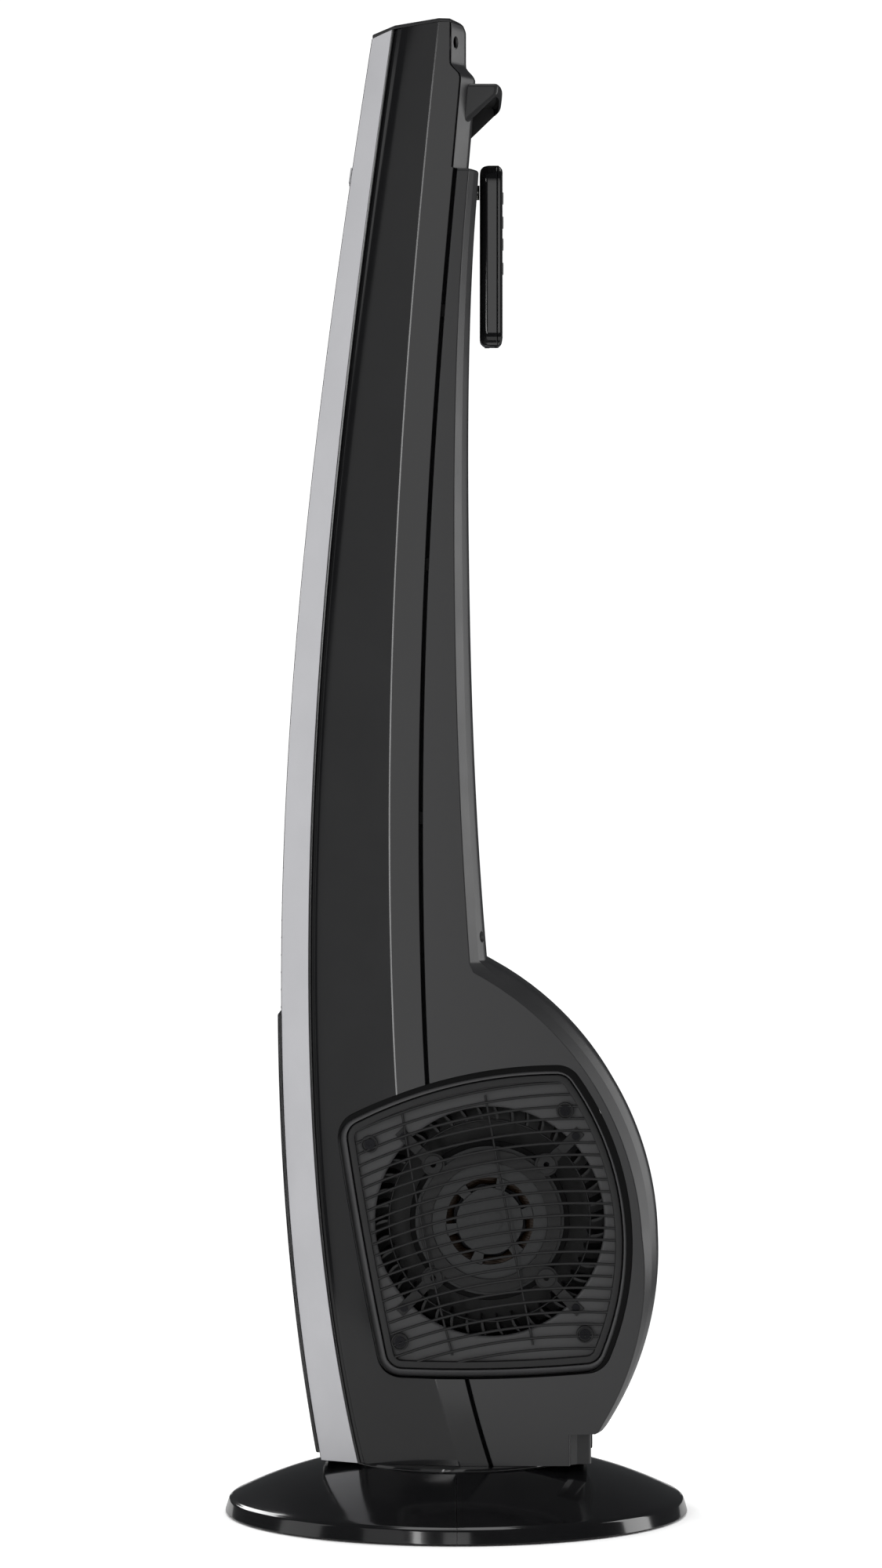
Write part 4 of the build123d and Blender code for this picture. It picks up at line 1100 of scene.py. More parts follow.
    def build_rear(self) -> None:
        """Build the rear housing with the blower bulge."""
        top, (block_low, block_high) = LINES.ledge_z - self.rear_gap, self.block_span
        levels = LINES.levels(LINES.floor_z, top, self.rear_step, (LINES.notch_z,))
        near_top = {top - self.rear_round * share for share in self.rear_top_shares}
        levels = sorted({z for z in levels if (z < block_low or z > block_high) and z < top - 3}
                        | set(self.block_levels) | near_top)
        shape = loft([self.rear_section(z) for z in levels])
        rear = self.piece("rear_housing_shell", shape, GRAINED_ABS, ["rear_housing"], "charcoal")
        self.cut(rear, self.recess())
        self.cut(rear, self.screw_wells(*self.low_well, LINES.back))

    def build_trims(self) -> None:
        """Build the two silver edge trims."""
        rings = []
        for z in LINES.levels(LINES.floor_z, LINES.top_z, self.trim_step):
            a, c, _ = LINES.corners(z)
            u, n = across(a, c)
            first, last = a + u * 0.25, c - u * (self.bead + 0.25)
            middle = (first + last) / 2 - n * 0.25
            rings.append(rounded([(first + n * 2.6, 0), (first, 0.9), (middle, 0), (last, 0.4),
                                  (last + n * 2.6, 0)], steps=5))
        trim = loft(rings)
        for side, shape in (("right", trim), ("left", trim.mirrored())):
            self.piece(f"edge_trim_{side}", shape, SILVER_LACQUER, [f"trim_{side}"], "silver",
                       self.edge_sharp)

    def build_cap(self) -> None:
        """Build the thin crowned cap over the tower's top.

        Each ring is the cap's outline, shrunk to a share of its size towards the middle, at a drop
        below the crown, with its back edge drawn in.
        """
        top = LINES.top_z
        back = Vector((LINES.trim_x, LINES.step_back[-3][0], top))
        half = [(LINES.at(LINES.face_x, LINES.front, top), 2.0),
                (LINES.at(LINES.trim_x, LINES.trim, top), 4.0),
                (LINES.at(self.cap_half, LINES.ridge, top), 1.5),
                (LINES.at(self.cap_half, LINES.top_crease, top), 2.0), (back, 8.0)]
        plan = rounded([*half, *flipped(half)], steps=6)
        rings = []
        for share, drop, draw in self.cap_levels:
            ring = []
            for p in plan:
                rear = min(1.0, max(0.0, (p.y - self.cap_bend) / self.cap_blend))
                y = self.cap_middle + (p.y - draw * rear - self.cap_middle) * share
                ring.append(Vector((p.x * share, y, LINES.crown(y) - drop)))
            rings.append(ring)
        shape = loft(rings, ends=False)
        self.piece("top_cap_crowned", shape, GRAINED_ABS, ["top_cap"], "gloss_black",
                   self.edge_sharp)

    def build(self) -> None:
        """Build the housings, trims and cap."""
        self.build_front()
        self.build_rear()
        self.build_trims()
        self.build_cap()


# ------ front face
@dataclass
class FrontFace(Assembly):
    """Outlet grille, lower panel and controls on the narrow front."""

    half: float = 33.0
    low: float = 412.2
    high: float = 1062.0
    pitch: float = 14.3
    depth: float = 14.0
    louvre_sharp: float = 40.0
    low_bow: float = 2.2
    bow_loss: float = 1.6
    bar_step: float = 16.0
    rail_push: float = 0.6
    rib_push: float = 2.5
    cross: float = 3.0
    rail: float = 2.5
    rib_x: float = 11.0
    rib: float = 1.6
    panel_half: float = 36.6
    panel_low: float = 52.8
    panel_high: float = 410.8
    proud: float = 3.0

    def louvre(self, z: float) -> Shape:
        """Make one bowed louvre with a rounded nose.

        Args:
            z: its height.

        Returns:
            The louvre.
        """
        share = (z - self.low) / (self.high - self.low)
        bow = self.low_bow - self.bow_loss * share
        front = LINES.front(z)
        back = front + self.depth - 1
        rings = []
        for k in range(13):
            x = (self.half - 0.4) * (k / 6 - 1)
            y = front + 0.8 - bow * (1 - (x / self.half) ** 2)
            outline = [(y + 0.9, -0.95), (y + 0.25, -0.6), (y, 0.0), (y + 0.25, 0.6),
                       (y + 0.9, 0.95), (back, 0.7), (back, -0.7)]
            rings.append([Vector((x, py, z + dz)) for py, dz in outline])
        return loft(rings)

    def bar(self, x0: float, x1: float, push: float, back: float, low: float, high: float) -> Shape:
        """Make a bar that follows the front line.

        Args:
            x0: its left side.
            x1: its right side.
            push: how far its face lies behind the line.
            back: how far its back does.
            low: its lower end.
            high: its upper end.

        Returns:
            The bar.
        """
        rings = []
        for z in LINES.levels(low, high, self.bar_step):
            y = LINES.front(z)
            rings.append(rounded(level_corners(z, (x0, y + push, 0.4), (x1, y + push, 0.4),
                                               (x1, y + back, 0), (x0, y + back, 0)), steps=3))
        return loft(rings)

    def build_grille(self) -> None:
        """Build the outlet grille with its louvres, rails and ribs."""
        shape = Shape()
        count = int((self.high - self.low - 3.0) / self.pitch) + 1
        start = self.low + ((self.high - self.low) - (count - 1) * self.pitch) / 2
        for i in range(count):
            shape.add(self.louvre(start + i * self.pitch))
        inside = self.half - self.rail
        for x0, x1 in ((-self.half, -inside), (inside, self.half)):
            shape.add(self.bar(x0, x1, self.rail_push, self.depth, self.low, self.high))
        for x in (-self.rib_x, self.rib_x):
            shape.add(self.bar(x - self.rib / 2, x + self.rib / 2, self.rib_push, self.depth - 2,
                               self.low, self.high))
        for low in (self.low, self.high - self.cross):
            shape.add(self.bar(-inside, inside, self.rail_push, self.depth, low, low + self.cross))
        self.piece("outlet_grille_louvres", shape, GRAINED_ABS, ["outlet_grille"], "charcoal",
                   self.louvre_sharp)

    def build_panel(self) -> None:
        """Build the smooth lower panel."""
        def section(z: float, inset: float) -> Ring:
            """Draw the panel's section.

            Args:
                z: its height.
                inset: how far it is drawn in.

            Returns:
                The section's points.
            """
            y, w = LINES.front(z), self.panel_half - inset
            out = self.proud - inset
            return rounded(level_corners(z, (-w, y - 0.1, 0), (-w, y - out + 0.5, 1.0),
                                         (-w + 5, y - out, 2.0), (w - 5, y - out, 2.0),
                                         (w, y - out + 0.5, 1.0), (w, y - 0.1, 0)))

        low, high = self.panel_low, self.panel_high
        rings = [section(low, 0.8), section(low + 0.3, 0.25), section(low + 1.0, 0.0)]
        rings += [section(z, 0.0) for z in LINES.levels(low + 12, high - 12, 14.0)]
        rings += [section(high - 1.0, 0.0), section(high - 0.3, 0.25), section(high, 0.8)]
        self.piece("lower_front_cover", loft(rings), GLOSS_ABS, ["lower_front_panel"],
                   "gloss_black")

    def build(self) -> None:
        """Build the front face and dress its CAD pieces."""
        self.build_grille()
        self.build_panel()
        self.dress(["control_panel"], GLOSS_ABS, 0.5)
        self.dress(["display_window"], SMOKED_ACRYLIC, 0.4)
        self.dress(["signal_lens"], LENS_ACRYLIC, 0.5)
        self.dress(["control_board"], BOARD)
        self.dress([f"button_{n}" for n in ("power", "speed", "swing", "timer")],
                   SILVER_LACQUER, 0.7)


# ------ intake
@dataclass
class Intake(Assembly):
    """Side intake: tray, grille of bowed wires, and their screws."""

    sharp: float = 38.0
    plate_x: float = 59.6
    floor_x: float = 61.5
    rim_x: float = 71.0
    rim: float = 7.0
    axle: Pair = AXLE
    inlet: float = 93.0
    # Shift of the painted shadow band's inner edge, which widens the painted shade at the top and
    # rear.
    shade_band_shift: float = 2.1
    frame_in: float = 7.6
    frame_wide: float = 5.9
    face_x: float = 69.5
    wires: int = 30
    first_wire: float = 0.6
    wire_sunk: float = 1.4
    rib_sunk: float = 2.7
    wire_pitch: float = 9.8
    wire_size: Pair = (2.3, 2.6)
    wire_circle: float = 433.0
    wire_centre: Pair = (100.0, -60.0)
    wire_steps: int = 1440
    rib_size: Pair = (2.0, 2.2)
    rod_least: int = 4
    rod_spans: int = 26
    near_y: Pair = (-100.0, 145.0)
    near_z: Pair = (112.0, 376.0)
    bosses: tuple[Pair, ...] = ((-70.5, 307), (88, 334), (-46, 147), (104, 153))
    rib_arcs: tuple[tuple[Pair, Pair, Pair], ...] = (
        ((4, 110), (-26, 230), (-46, 345)), ((69, 110), (43, 240), (18, 375)))

    def tray(self) -> Shape:
        """Make the tray with its rolled rim and the bell-mouthed inlet.

        Returns:
            The right tray.
        """
        rim = [(0.0, self.plate_x), (0.0, self.plate_x + 2.2), (0.5, self.rim_x - 6.8),
               (1.7, self.rim_x - 4.0), (3.4, self.rim_x - 1.7), (4.9, self.rim_x - 0.5),
               (6.0, self.rim_x - 0.1), (6.7, self.rim_x - 0.4), (self.rim, self.rim_x - 1.2),
               (self.rim, self.floor_x + 0.8), (self.rim + 0.6, self.floor_x)]
        rings = [TRAY.ring(inset, x) for inset, x in rim]
        for radius, x in ((self.inlet + 2.6, self.floor_x), (self.inlet + 1.0, self.floor_x - 0.3),
                          (self.inlet + 0.2, self.floor_x - 1.0), (self.inlet, self.plate_x)):
            rings.append(TRAY.circle(self.axle, radius, x))
        return loft(rings, loop=True)

    def shade_band(self) -> Shape:
        """Make the painted shadow round the tray: a near-black band standing in for the recess's
        shade, wide at its top and rear and narrow elsewhere.

        Returns:
            The right shadow band.
        """
        shift = Vector((0, -self.shade_band_shift, -self.shade_band_shift))
        inner = [[p + shift for p in TRAY.ring(self.shade_band_shift + 0.5, x)] for x in (71.3, 68.5)]
        outer = [TRAY.ring(-0.2, x) for x in (65.0, 70.8)]
        return loft([*outer, *inner], loop=True)

    def frame(self) -> Shape:
        """Make the grille's rounded outer frame.

        Returns:
            The right frame.
        """
        a, b = self.frame_in, self.frame_in + self.frame_wide
        profile = [(a, self.floor_x), (a, self.face_x - 1.6), (a + 0.3, self.face_x - 0.6),
                   (a + 1.1, self.face_x), (b - 0.7, self.face_x), (b - 0.2, self.face_x - 0.3),
                   (b, self.face_x - 0.9), (b, self.floor_x)]
        return loft([TRAY.ring(inset, x) for inset, x in profile], loop=True)

    def wire(self, centre: Sequence[float], radius: float, x: float, size: Pair) -> Shape:
        """Return the wires of one circle that lie inside the frame.

        Args:
            centre: centre of the circle in (y, z).
            radius: its radius.
            x: middle of the wire across the tower.
            size: its width seen from the side, and its depth across the tower.

        Returns:
            A rounded bar for each stretch inside the frame.
        """
        shape, run = Shape(), []
        inset = self.frame_in + self.frame_wide - 0.8
        for k in range(self.wire_steps + 1):
            angle = 2 * math.pi * k / self.wire_steps - math.pi / 2
            y, z = centre[0] + radius * math.cos(angle), centre[1] + radius * math.sin(angle)
            near = self.near_y[0] < y < self.near_y[1] and self.near_z[0] < z < self.near_z[1]
            if near and TRAY.holds(y, z, inset):
                run.append((angle, y, z))
                continue
            shape.add(self.rod(run, x, size))
            run = []
        return shape.add(self.rod(run, x, size))

    def rod(self, run: Sequence[tuple[float, float, float]], x: float, size: Pair) -> Shape:
        """Make a bar of rounded section along part of a circle.

        Args:
            run: (angle, y, z) of each point along it.
            x: its middle across the tower.
            size: its width seen from the side, and its depth across the tower.

        Returns:
            The bar, or an empty shape if it is too short.
        """
        if len(run) < self.rod_least:
            return Shape()
        rings = []
        for angle, y, z in [*run[:-1:max(1, len(run) // self.rod_spans)], run[-1]]:
            ring = []
            for j in range(8):
                turn = 2 * math.pi * (j + 0.5) / 8
                out = size[0] / 2 * math.cos(turn)
                ring.append(Vector((x + size[1] / 2 * math.sin(turn), y + out * math.cos(angle),
                                    z + out * math.sin(angle))))
            rings.append(ring)
        return loft(rings)

    def boss(self, y: float, z: float) -> Shape:
        """Make a screw boss with its sunk seat.

        Args:
            y: its place from front to back.
            z: its height.

        Returns:
            The boss.
        """
        x = self.face_x
        profile = [(1.9, x - 4.0), (7.0, x - 4.0), (7.0, x - 0.3), (6.7, x + 0.15), (6.2, x + 0.3),
                   (5.8, x + 0.1), (5.6, x - 0.4), (5.6, x - 1.8), (1.9, x - 1.8)]
        return lathe(profile, steps=36, axis="x", centre=(y, z))

    def build(self) -> None:
        """Build tray and grille on both sides."""
        tray, grille = self.tray(), self.frame()
        for i in range(self.wires):
            drop = (i + self.first_wire) * self.wire_pitch
            grille.add(self.wire((self.wire_centre[0], self.wire_centre[1] - drop),
                                 self.wire_circle, self.face_x - self.wire_sunk, self.wire_size))
        for points in self.rib_arcs:
            centre, radius = circle_through(*points)
            grille.add(self.wire(centre, radius, self.face_x - self.rib_sunk, self.rib_size))
        for y, z in self.bosses:
            grille.add(self.boss(y, z))
        # The near-black band round each tray is painted shadow, standing in for the recess's shade.
        pieces = (("tray", "moulding", tray, TRAY_ABS),
                  ("tray", "border", self.shade_band(), SHADOW_ABS),
                  ("grille", "moulding", grille, GRILLE_ABS))
        for side, flip in (("right", False), ("left", True)):
            for name, what, shape, finish in pieces:
                made = shape.mirrored() if flip else shape
                self.piece(f"intake_{name}_{side}_{what}", made, finish,
                           [f"intake_{name}_{side}"], "charcoal")
        self.dress(["grille_screws"], BLACK_STEEL, 0.25)


# ------ blower
@dataclass
class Blower(Assembly):
    """Blower wheel, with its motor and bracket inside the right inlet."""

    axle: Pair = AXLE
    radius: float = 98.0
    inner: float = 81.0
    half: float = 54.0
    blades: int = 42
    blade_lag: float = 6.5
    blade_thin: float = 0.8
    blade_swell: float = 1.5
    motor_radius: float = 56.0
    flange_radius: float = 60.5
    motor_x0: float = 6.0
    motor_x1: float = 56.0
    window_in: float = 27.0
    window_out: float = 35.5
    windows: int = 6
    spoke_turn: float = 12.0
    spoke_sweep: float = 16.0
    shade_ring_out: float = 4.6
    coil_radius: float = 37.0
    coil_x: float = 45.6
    coil_size: Pair = (7.6, 5.0)
    coil_lobes: int = 12
    coil_swell: float = 0.09
    coil_sharp: float = 60.0

    def spot(self, radius: float, angle: float, x: float) -> Vector:
        """Return a point at a radius and angle round the axle."""
        return Vector((x, self.axle[0] + radius * math.cos(angle),
                       self.axle[1] + radius * math.sin(angle)))

    def turned(self, profile: Sequence[Pair], steps: int = 96, start: float = 0.0,
               sweep: float = 360.0) -> Shape:
        """Return a closed profile of (radius, x) turned round the axle."""
        return lathe(profile, steps, start, sweep, "x", self.axle)

    def blade(self, angle: float) -> Shape:
        """Make one cupped blade, thickest behind its nose.

        Args:
            angle: its place round the axle, in radians.

        Returns:
            The blade.
        """
        outline = []
        for k in range(9):
            t = k / 8
            r = self.inner + 0.6 + (self.radius - self.inner - 1.4) * t
            swell = self.blade_swell * math.sin(math.pi * min(1.0, t + 0.1))
            outline.append((r, self.blade_lag * t ** 2, self.blade_thin + swell))
        near = [(r, lag - wide / 2) for r, lag, wide in outline]
        far = [(r, lag + wide / 2) for r, lag, wide in reversed(outline)]
        rings = []
        for x in (-self.half + 0.6, self.half - 0.6):
            rings.append([self.spot(r, angle + s / r, x) for r, s in [*near, *far]])
        return loft(rings)

    def ring(self, r0: float, r1: float, x0: float, x1: float) -> Shape:
        """Make a rounded ring round the axle.

        Args:
            r0: its inner radius.
            r1: its outer radius.
            x0: its left side.
            x1: its right side.

        Returns:
            The ring.
        """
        e = min(0.6, (r1 - r0) / 3, (x1 - x0) / 3)
        return self.turned([(r0, x0 + e), (r0, x1 - e), (r0 + e, x1), (r1 - e, x1), (r1, x1 - e),
                            (r1, x0 + e), (r1 - e, x0), (r0 + e, x0)])

    def build_wheel(self) -> None:
        """Build the wheel: blades between two open rims, carried by a disc."""
        wheel = Shape()
        for i in range(self.blades):
            wheel.add(self.blade(2 * math.pi * i / self.blades))
        for side in (-1, 1):
            x0, x1 = sorted((side * (self.half - 3.0), side * self.half))
            wheel.add(self.ring(self.radius - 2.2, self.radius, x0, x1))
            wheel.add(self.ring(self.inner, self.inner + 1.8, x0, x1))
        disc = [(4.1, -20.0), (12.0, -20.0), (12.0, -8.0), (16.0, -5.6), (self.radius - 1.0, -5.5),
                (self.radius - 1.0, -4.0), (4.1, -4.0)]
        wheel.add(self.turned(disc))
        self.piece("blower_wheel_moulding", wheel, BLOWER_PP, ["blower_wheel"], "charcoal",
                   body="blower")

    def build_motor(self) -> None:
        """Build the flanged motor can with its windowed end, and the near-black ring behind it,
        painted shade that outlines the can.
        """
        x0, x1, r, f = self.motor_x0, self.motor_x1, self.motor_radius, self.flange_radius
        near, far = self.window_in, self.window_out
        can = self.turned([
            (4.2, x0), (r - 1.5, x0), (r, x0 + 1.5), (r, x1 - 6.0), (f, x1 - 6.0), (f, x1 - 4.6),
            (r + 1.0, x1 - 4.2), (r - 0.4, x1 - 0.6), (r - 2.0, x1), (far, x1), (far, x1 - 3.0),
            (r - 2.0, x1 - 3.0), (r - 2.0, x0 + 3.0), (4.2, x0 + 3.0)])
        boss = [(4.2, x1 - 5.5), (9.0, x1 - 5.5), (9.0, x1 - 3.0), (near, x1 - 3.0), (near, x1),
                (12.0, x1), (10.5, x1 + 0.5), (8.0, x1 + 0.6), (0.0, x1 + 0.6), (0.0, x1 - 3.5),
                (4.2, x1 - 3.5)]
        can.add(self.turned(boss, steps=64))
        spoke = [(near - 0.5, x1 - 3.0), (far + 0.5, x1 - 3.0), (far + 0.5, x1), (near - 0.5, x1)]
        for i in range(self.windows):
            start = 360.0 / self.windows * i + self.spoke_turn - self.spoke_sweep / 2
            can.add(self.turned(spoke, steps=8, start=start, sweep=self.spoke_sweep))
        # Painted shade: a near-black ring behind the flange that outlines the motor can.
        x, out = x1 - 8.0, f + self.shade_ring_out
        shade_ring = self.turned([(r - 0.5, x), (f + 4.0, x), (out, x + 0.6), (f + 4.0, x + 1.2),
                            (r - 0.5, x + 1.2)])
        for name, shape, finish in (("motor_can", can, MOTOR_ENAMEL),
                                    ("motor_painted_shade_ring", shade_ring, SHADOW_ABS)):
            self.piece(name, shape, finish, ["motor_housing"], "motor_can")

    def build_windings(self) -> None:
        """Build the end windings as lobed coils of wire."""
        rings = []
        for k in range(96):
            angle = 2 * math.pi * k / 96
            swell = 1.0 + self.coil_swell * math.cos(self.coil_lobes * angle)
            wide, deep = (size * swell for size in self.coil_size)
            turns = [2 * math.pi * j / 12 for j in range(12)]
            rings.append([self.spot(self.coil_radius + wide * math.cos(turn), angle,
                                    self.coil_x + deep * math.sin(turn)) for turn in turns])
        self.piece("motor_end_windings", loft(rings, loop=True), COPPER_WIRE, ["motor_windings"],
                   "copper", self.coil_sharp)

    def build(self) -> None:
        """Build the wheel and motor, and dress the rest."""
        self.build_wheel()
        self.build_motor()
        self.build_windings()
        self.dress(["motor_bracket"], GRILLE_ABS, 0.4)
        self.dress(["motor_stator", "motor_shaft", "shaft_collar"], BLACK_STEEL)
        self.dress(["motor_screws"], BLACK_STEEL, 0.2)
        self.dress(["motor_grommets"], RUBBER, 0.4)
        self.dress(["scroll_left", "scroll_right", "air_duct"], BLOWER_PP)
        self.dress(["run_capacitor"], BRIGHT_METAL, 0.8)


# ------ base
@dataclass
class Base(Assembly):
    """Round base in two halves, with what it carries inside."""

    body: str = "base"
    sharp: float = 40.0
    radius: float = 190.0
    bottom: float = 1.5
    rim_z: float = 12.5
    deck_z: float = 41.0
    recess: float = 91.0
    wall: float = 3.0
    seam: float = 0.35
    dome: tuple[Pair, ...] = (
        (184.0, 14.6), (180.0, 16.4), (170.0, 21.0), (160.0, 25.2), (150.0, 29.0), (140.0, 32.5),
        (130.0, 35.5), (120.0, 38.3), (110.0, 40.7), (100.0, 42.8), (93.2, 43.9))

    def profile(self) -> list[tuple[float, float]]:
        """Draw the half section of the base.

        Returns:
            (radius, z) of the closed outline.
        """
        r = self.radius
        low, high = self.bottom, self.rim_z
        rim = [(r - 3.6, low + 0.1), (r - 0.5, low), (r, low + 0.5), (r - 0.2, low + 1.3),
               (r - 2.6, high - 1.6), (r - 3.0, high - 0.5), (r - 3.5, high + 0.2),
               (r - 4.3, high + 0.6), (r - 5.0, high + 1.3)]
        lip = [(92.0, 44.0), (91.3, 43.7), (self.recess, 43.1), (self.recess, self.deck_z + 0.5),
               (self.recess - 0.5, self.deck_z), (15.2, self.deck_z)]
        under = [(15.2, self.deck_z - self.wall), (95.0, self.deck_z - self.wall)]
        under += [(out - 2.0, z - self.wall) for out, z in reversed(self.dome[1:-1])]
        return [*rim, *self.dome, *lip, *under, (r - 7.0, high - 2.0)]

    def build(self) -> None:
        """Build both halves and dress the inner pieces."""
        outline = self.profile()
        slack = math.degrees(self.seam / 2 / self.radius)
        for name, start in (("front", 180.0), ("rear", 0.0)):
            half = lathe(outline, steps=90, start=start + slack, sweep=180.0 - 2 * slack)
            self.piece(f"base_{name}_dome", half, GLOSS_ABS, [f"base_{name}_half"],
                       "gloss_black")
        self.dress(["base_hub", "thrust_ring"], GRAINED_ABS, 0.3)
        self.dress(["base_feet"], RUBBER, 0.8)
        self.dress(["base_screws", "spindle_nut"], ZINC_STEEL, 0.2)
        self.dress(["sun_gear", "swing_pinion"], ACETAL, 0.15)
        self.dress(["swing_motor"], MOTOR_ENAMEL, 0.4)
        self.dress(["turntable"], SATIN_ABS, 0.6)


# ------ remote and handle
@dataclass
class Remote(Assembly):
    """Remote control docked behind the top."""

    body: str = "remote"
    sharp: float = 32.0
    half: float = 21.0
    back_y: float = 19.4
    thick: float = 18.6
    low: float = 958.8
    high: float = 1107.4
    seam_y: float = 33.6
    well: float = 2.2
    keys: tuple[float, ...] = (1081.4, 1061.4, 1043.4, 1023.4)
    key_hole: float = 5.35
    key_depth: Pair = (30.0, 45.0)
    shell_wall: float = 2.4
    shell_gap: float = 0.02
    ends: tuple[float, ...] = (0.0, 0.15, 0.6, 1.4, 2.6, 4.2, 6.4, 9.0, 12.0)
    first_level: float = 20.0
    level_step: float = 12.0
    levels: int = 10
    wide_round: float = 13.0
    thin_round: float = 6.5

    def key_holes(self) -> Shape:
        """Make the tool that opens the front shell for its keys.

        Returns:
            The tool.
        """
        holes, (y0, y1) = Shape(), self.key_depth
        for z in self.keys:
            holes.add(lathe([(0.0, y0), (self.key_hole, y0), (self.key_hole, y1), (0.0, y1)],
                            steps=40, axis="y", centre=(0.0, z)))
        return holes

    def section(self, z: float, back: bool) -> Ring:
        """Draw the section of one shell, rounded towards both ends of the remote.

        Args:
            z: its height.
            back: whether it is the back shell.

        Returns:
            The section's points.
        """
        near = min(z - self.low, self.high - z)

        def shrink(radius: float) -> float:
            """Work out how far a rounding has drawn the side in.

            Args:
                radius: its radius.

            Returns:
                The distance.
            """
            left = max(0.0, radius ** 2 - (radius - near) ** 2)
            return radius - math.sqrt(left) if near < radius else 0.0

        w, pull = self.half - shrink(self.wide_round), shrink(self.thin_round)
        seam, inner = self.seam_y, w - self.shell_wall
        if back:
            floor = seam - self.well
            y = min(self.back_y + pull, floor - 1.0)
            corners = ((-w, seam, 0.8), (-w, y, 9.0), (w, y, 9.0), (w, seam, 0.8),
                       (inner, seam, 0), (inner, floor, 0), (-inner, floor, 0), (-inner, seam, 0))
        else:
            y, start = max(self.back_y + self.thick - pull, seam + 1.2), seam + self.shell_gap
            corners = ((w, start, 0.8), (w, y, 3.6), (-w, y, 3.6), (-w, start, 0.8))
        return rounded(level_corners(z, *corners), steps=7)

    def build(self) -> None:
        """Build both shells and dress the rest of the remote."""
        levels = [self.low + e for e in self.ends]
        levels += [self.low + self.first_level + self.level_step * i for i in range(self.levels)]
        levels += [self.high - e for e in reversed(self.ends)]
        for name, back in (("back", True), ("front", False)):
            shape = loft([self.section(z, back) for z in levels])
            shell = self.piece(f"remote_{name}_moulding", shape, GLOSS_ABS,
                               [f"remote_{name}_shell"], "gloss_black")
            if not back:
                self.cut(shell, self.key_holes())
        self.dress(["remote_grip_strip"], SILVER_LACQUER, 0.3)
        self.dress(["remote_board"], BOARD)
        self.dress(["remote_keeper", "coin_cell"], BRIGHT_METAL, 0.3)
        self.dress(["battery_tray"], SATIN_ABS, 0.4)
        self.dress([f"key_{n}" for n in ("power", "faster", "slower", "swing")], RUBBER, 0.5)


@dataclass
class Handle(Assembly):
    """Carry handle: a hooded scoop on the slanted back, open below."""

    half: float = 62.8
    wall: float = 3.0
    top: float = 1167.4
    low: float = 1136.4
    reach: float = 34.0
    bulge: float = 4.2
    lip: float = 16.0
    step: float = 6.0
    steps: int = 9
    hollow_steps: int = 12
    back_y: float = 3.0
    ends: tuple[Pair, ...] = ((0.0, 3.2), (0.25, 2.0), (0.9, 0.9), (1.9, 0.25), (3.2, 0.0))

    def nose(self, x: float) -> float:
        """Return how far back the hood's nose reaches at a place across the tower."""
        return self.reach + self.bulge * (1 - (x / self.half) ** 4)

    def hollow(self, x: float) -> Ring:
        """Draw the side view of the hood's inside.

        Args:
            x: its place across the tower.

        Returns:
            The points.
        """
        out, top = self.nose(x) - self.wall, self.top - self.wall
        lip, below = self.top - self.lip, self.low - 20.0
        outline = [(-5.0, top), (out - 2.2, top), (out - 0.2, top - 2.0), (out, lip), (60.0, lip),
                   (60.0, below), (-5.0, below)]
        return [Vector((x, y, z)) for y, z in outline]

    def section(self, x: float, inset: float) -> Ring:
        """Draw the hood's side view.

        Args:
            x: its place across the tower.
            inset: how far it is drawn in.

        Returns:
            The points.
        """
        out = self.nose(x) - inset
        top, low = self.top - inset, self.low + inset
        corners = ((self.back_y, top, 0.0), (out, top, 4.5), (out - 1.2, top - 8.5 + inset, 4.0),
                   (10.2 - inset, low, 2.4), (self.back_y, low, 0.0))
        return rounded([(Vector((x, y, z)), r) for y, z, r in corners], steps=7)

    def build(self) -> None:
        """Build the hood and hollow it out."""
        ends = [(self.half - back, inset) for back, inset in self.ends]
        middle = [(self.step * k, 0.0) for k in range(-self.steps, self.steps + 1)]
        places = [(-x, i) for x, i in ends] + middle + ends[::-1]
        hood = self.piece("carry_handle_hood", loft([self.section(x, i) for x, i in places]),
                          GRAINED_ABS, ["carry_handle"], "charcoal")
        inner, cuts = self.half - self.wall, self.hollow_steps
        self.cut(hood, loft([self.hollow(inner * k / cuts) for k in range(-cuts, cuts + 1)]))


@dataclass
class Fittings(Assembly):
    """Dock magnet, gland, clips and screws."""

    def build(self) -> None:
        """Dress the small CAD pieces on the tower."""
        self.dress(["dock_magnet"], BRIGHT_METAL, 0.3)
        self.dress(["cord_gland"], RUBBER, 0.5)
        # The seam clips take the near-black painted-shade finish, so they read as the groove's
        # shade.
        self.dress(["seam_clips"], SHADOW_ABS, 0.5)
        self.dress(["housing_screws"], BLACK_STEEL, 0.2)


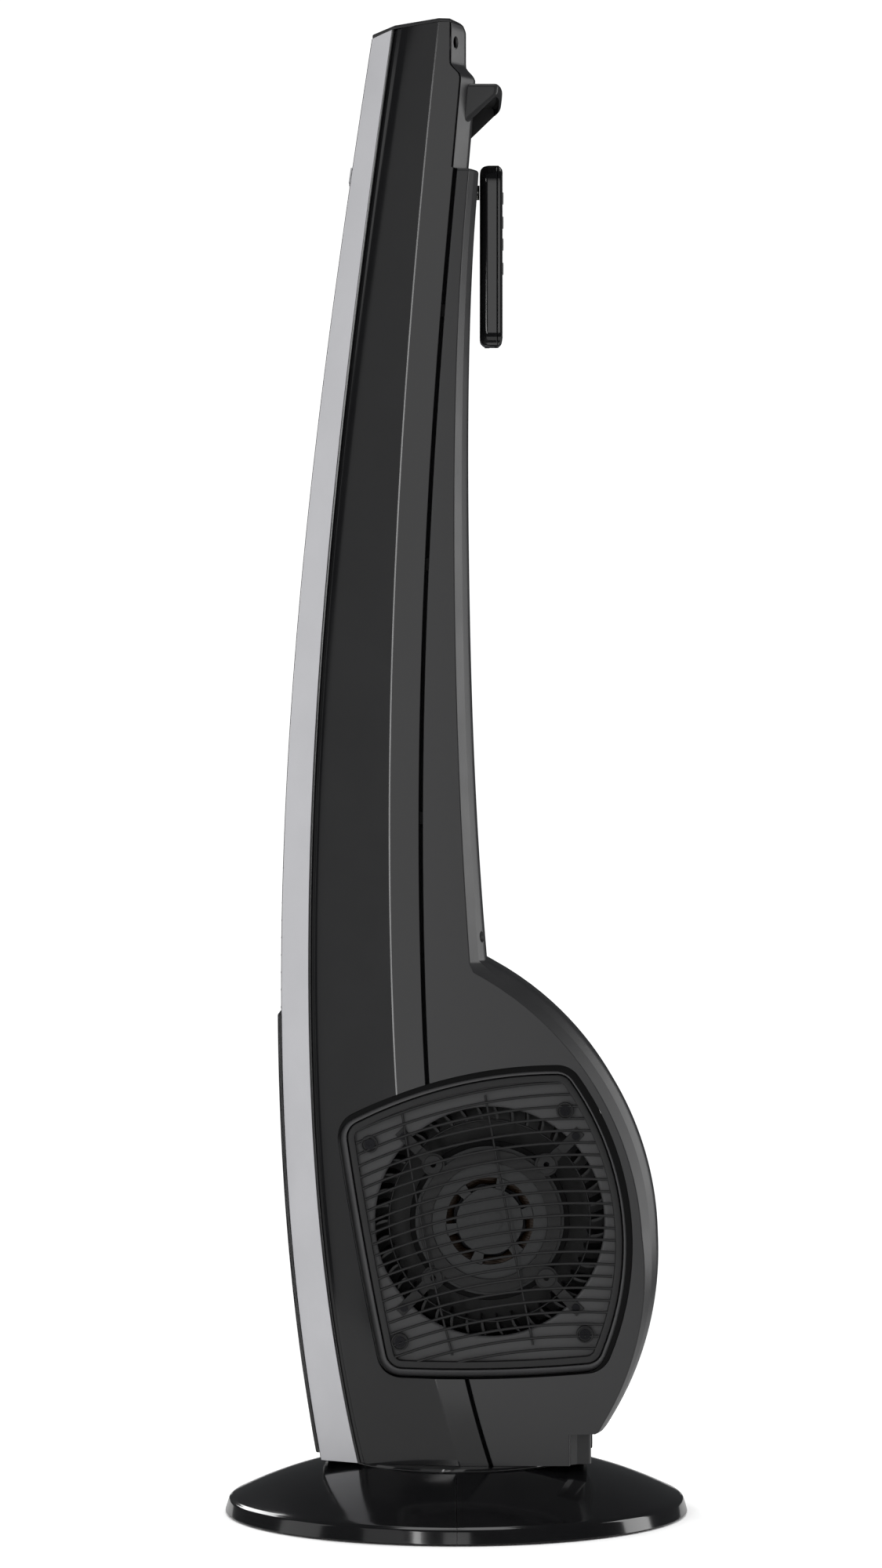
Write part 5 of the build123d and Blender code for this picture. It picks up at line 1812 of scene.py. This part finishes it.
# ------ studio
@dataclass
class Studio:
    """Pale floor, soft lights, sky and camera."""

    camera_at: tuple[float, float, float] = (3.971, -0.0126, 0.5988)
    lens: float = 110.61
    sensor: float = 36.0
    floor_half: float = 800.0
    floor_thick: float = 5.0
    sky: float = 1.1
    gloom: float = 0.06
    # Share of the floor's painted dark reflection, seen by glossy rays.
    gloss_dimming: float = 0.5
    lights: tuple[tuple, ...] = (
        ("strip_ridge", (3.3, -0.97, 0.65), (0, 0, 0.65), (0.22, 2.6), 14.0, 14.0),
        ("box_side", (2.13, -1.49, 0.85), (0, 0, 0.65), (0.95, 2.4), 3.4, 18.0),
        ("box_viewer", (4.35, 0.0, 0.75), (0, 0, 0.65), (1.0, 2.6), 9.5),
        ("box_front", (0.3, -2.6, 0.9), (0, 0, 0.6), (1.2, 2.0), 6.0),
        ("box_rear", (-0.45, 2.55, 0.9), (0, 0, 0.5), (0.9, 2.2), 22.0),
        ("box_top", (-0.2, 0.0, 3.2), (0, 0, 0.6), (1.6, 1.6), 16.0),
        ("box_left_back", (-1.7, -1.35, 1.1), (0, 0, 0.1), (0.7, 1.0), 14.0))

    def floor(self) -> None:
        """Lay a wide pale floor that isn't part of the fan."""
        half = self.floor_half
        rings = [[Vector((x * half, y * half, z)) for x, y in ((-1, -1), (1, -1), (1, 1), (-1, 1))]
                 for z in (0.0, -self.floor_thick)]
        floor = put("studio_floor", clean_mesh("studio_floor", loft(rings)))
        material = PAPER.build()
        self.dull_in_gloss(material.node_tree)
        floor.data.materials.append(material)

    def dull_in_gloss(self, tree: bpy.types.NodeTree) -> None:
        """Make the floor's mirror image dim, a painted dark reflection, as if a dark flag stood
        beside each glossy panel.

        Args:
            tree: the floor material's node tree.
        """
        out = next(n for n in tree.nodes if n.type == "OUTPUT_MATERIAL")
        bright = out.inputs["Surface"].links[0].from_node
        paths = add_node(tree, "ShaderNodeLightPath", {}, {})
        share = add_node(tree, "ShaderNodeMath", {"operation": "MULTIPLY"},
                         {0: (paths, "Is Glossy Ray")})
        share.inputs[1].default_value = self.gloss_dimming
        dull = add_node(tree, "ShaderNodeBsdfDiffuse", {"Color": linear("101010")}, {})
        mixed = add_node(tree, "ShaderNodeMixShader", {},
                         {0: (share, 0), 1: (bright, 0), 2: (dull, 0)})
        tree.links.new(mixed.outputs[0], out.inputs["Surface"])

    def light(self, name: str, at: Sequence[float], aim: Sequence[float], size: Pair, power: float,
              roll: float = 0.0) -> None:
        """Hang a soft box.

        Args:
            name: name of the light.
            at: its place in metres.
            aim: what it points at, in metres.
            size: width and height in metres.
            power: watts.
            roll: how far its top leans towards -Y, in degrees, for a box on the camera's side.
        """
        data = bpy.data.lights.new(name, "AREA")
        data.shape, data.size, data.size_y, data.energy = "RECTANGLE", size[0], size[1], power
        lamp = put(name, data)
        lamp.location = at
        turned = (Vector(aim) - Vector(at)).to_track_quat("-Z", "Y")
        lamp.rotation_euler = (turned @ Quaternion((0, 0, 1), math.radians(roll))).to_euler()

    def build(self) -> None:
        """Build the studio."""
        scene = bpy.context.scene
        self.floor()
        world = bpy.data.worlds.new("studio_sky")
        world.use_nodes = True
        scene.world = world
        tree = world.node_tree
        tree.nodes.clear()
        paths = add_node(tree, "ShaderNodeLightPath", {}, {})
        soft, dark = (add_node(tree, "ShaderNodeBackground",
                               {"Color": linear(colour), "Strength": strength}, {})
                      for colour, strength in (("ffffff", self.sky), ("e8ecf0", self.gloom)))
        mixed = add_node(tree, "ShaderNodeMixShader", {},
                         {0: (paths, "Is Glossy Ray"), 1: (soft, 0), 2: (dark, 0)})
        add_node(tree, "ShaderNodeOutputWorld", {}, {"Surface": (mixed, 0)})
        for row in self.lights:
            self.light(*row)
        data = bpy.data.cameras.new("view_camera")
        data.lens, data.sensor_width = self.lens, self.sensor
        scene.camera = put("view_camera", data)
        scene.camera.location = self.camera_at
        scene.camera.rotation_euler = (math.radians(90), 0, math.radians(90))
        scene.view_settings.view_transform = "Standard"


def main() -> None:
    """Build the fan's looks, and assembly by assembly."""
    logging.basicConfig(level=logging.INFO, format="%(name)s: %(message)s")
    Studio().build()
    for part in (TowerShell(), FrontFace(), Intake(), Blower(), Base(), Handle(), Remote(),
                 Fittings()):
        LOG.info("building %s", type(part).__name__)
        part.build()


if __name__ == "__main__":
    main()
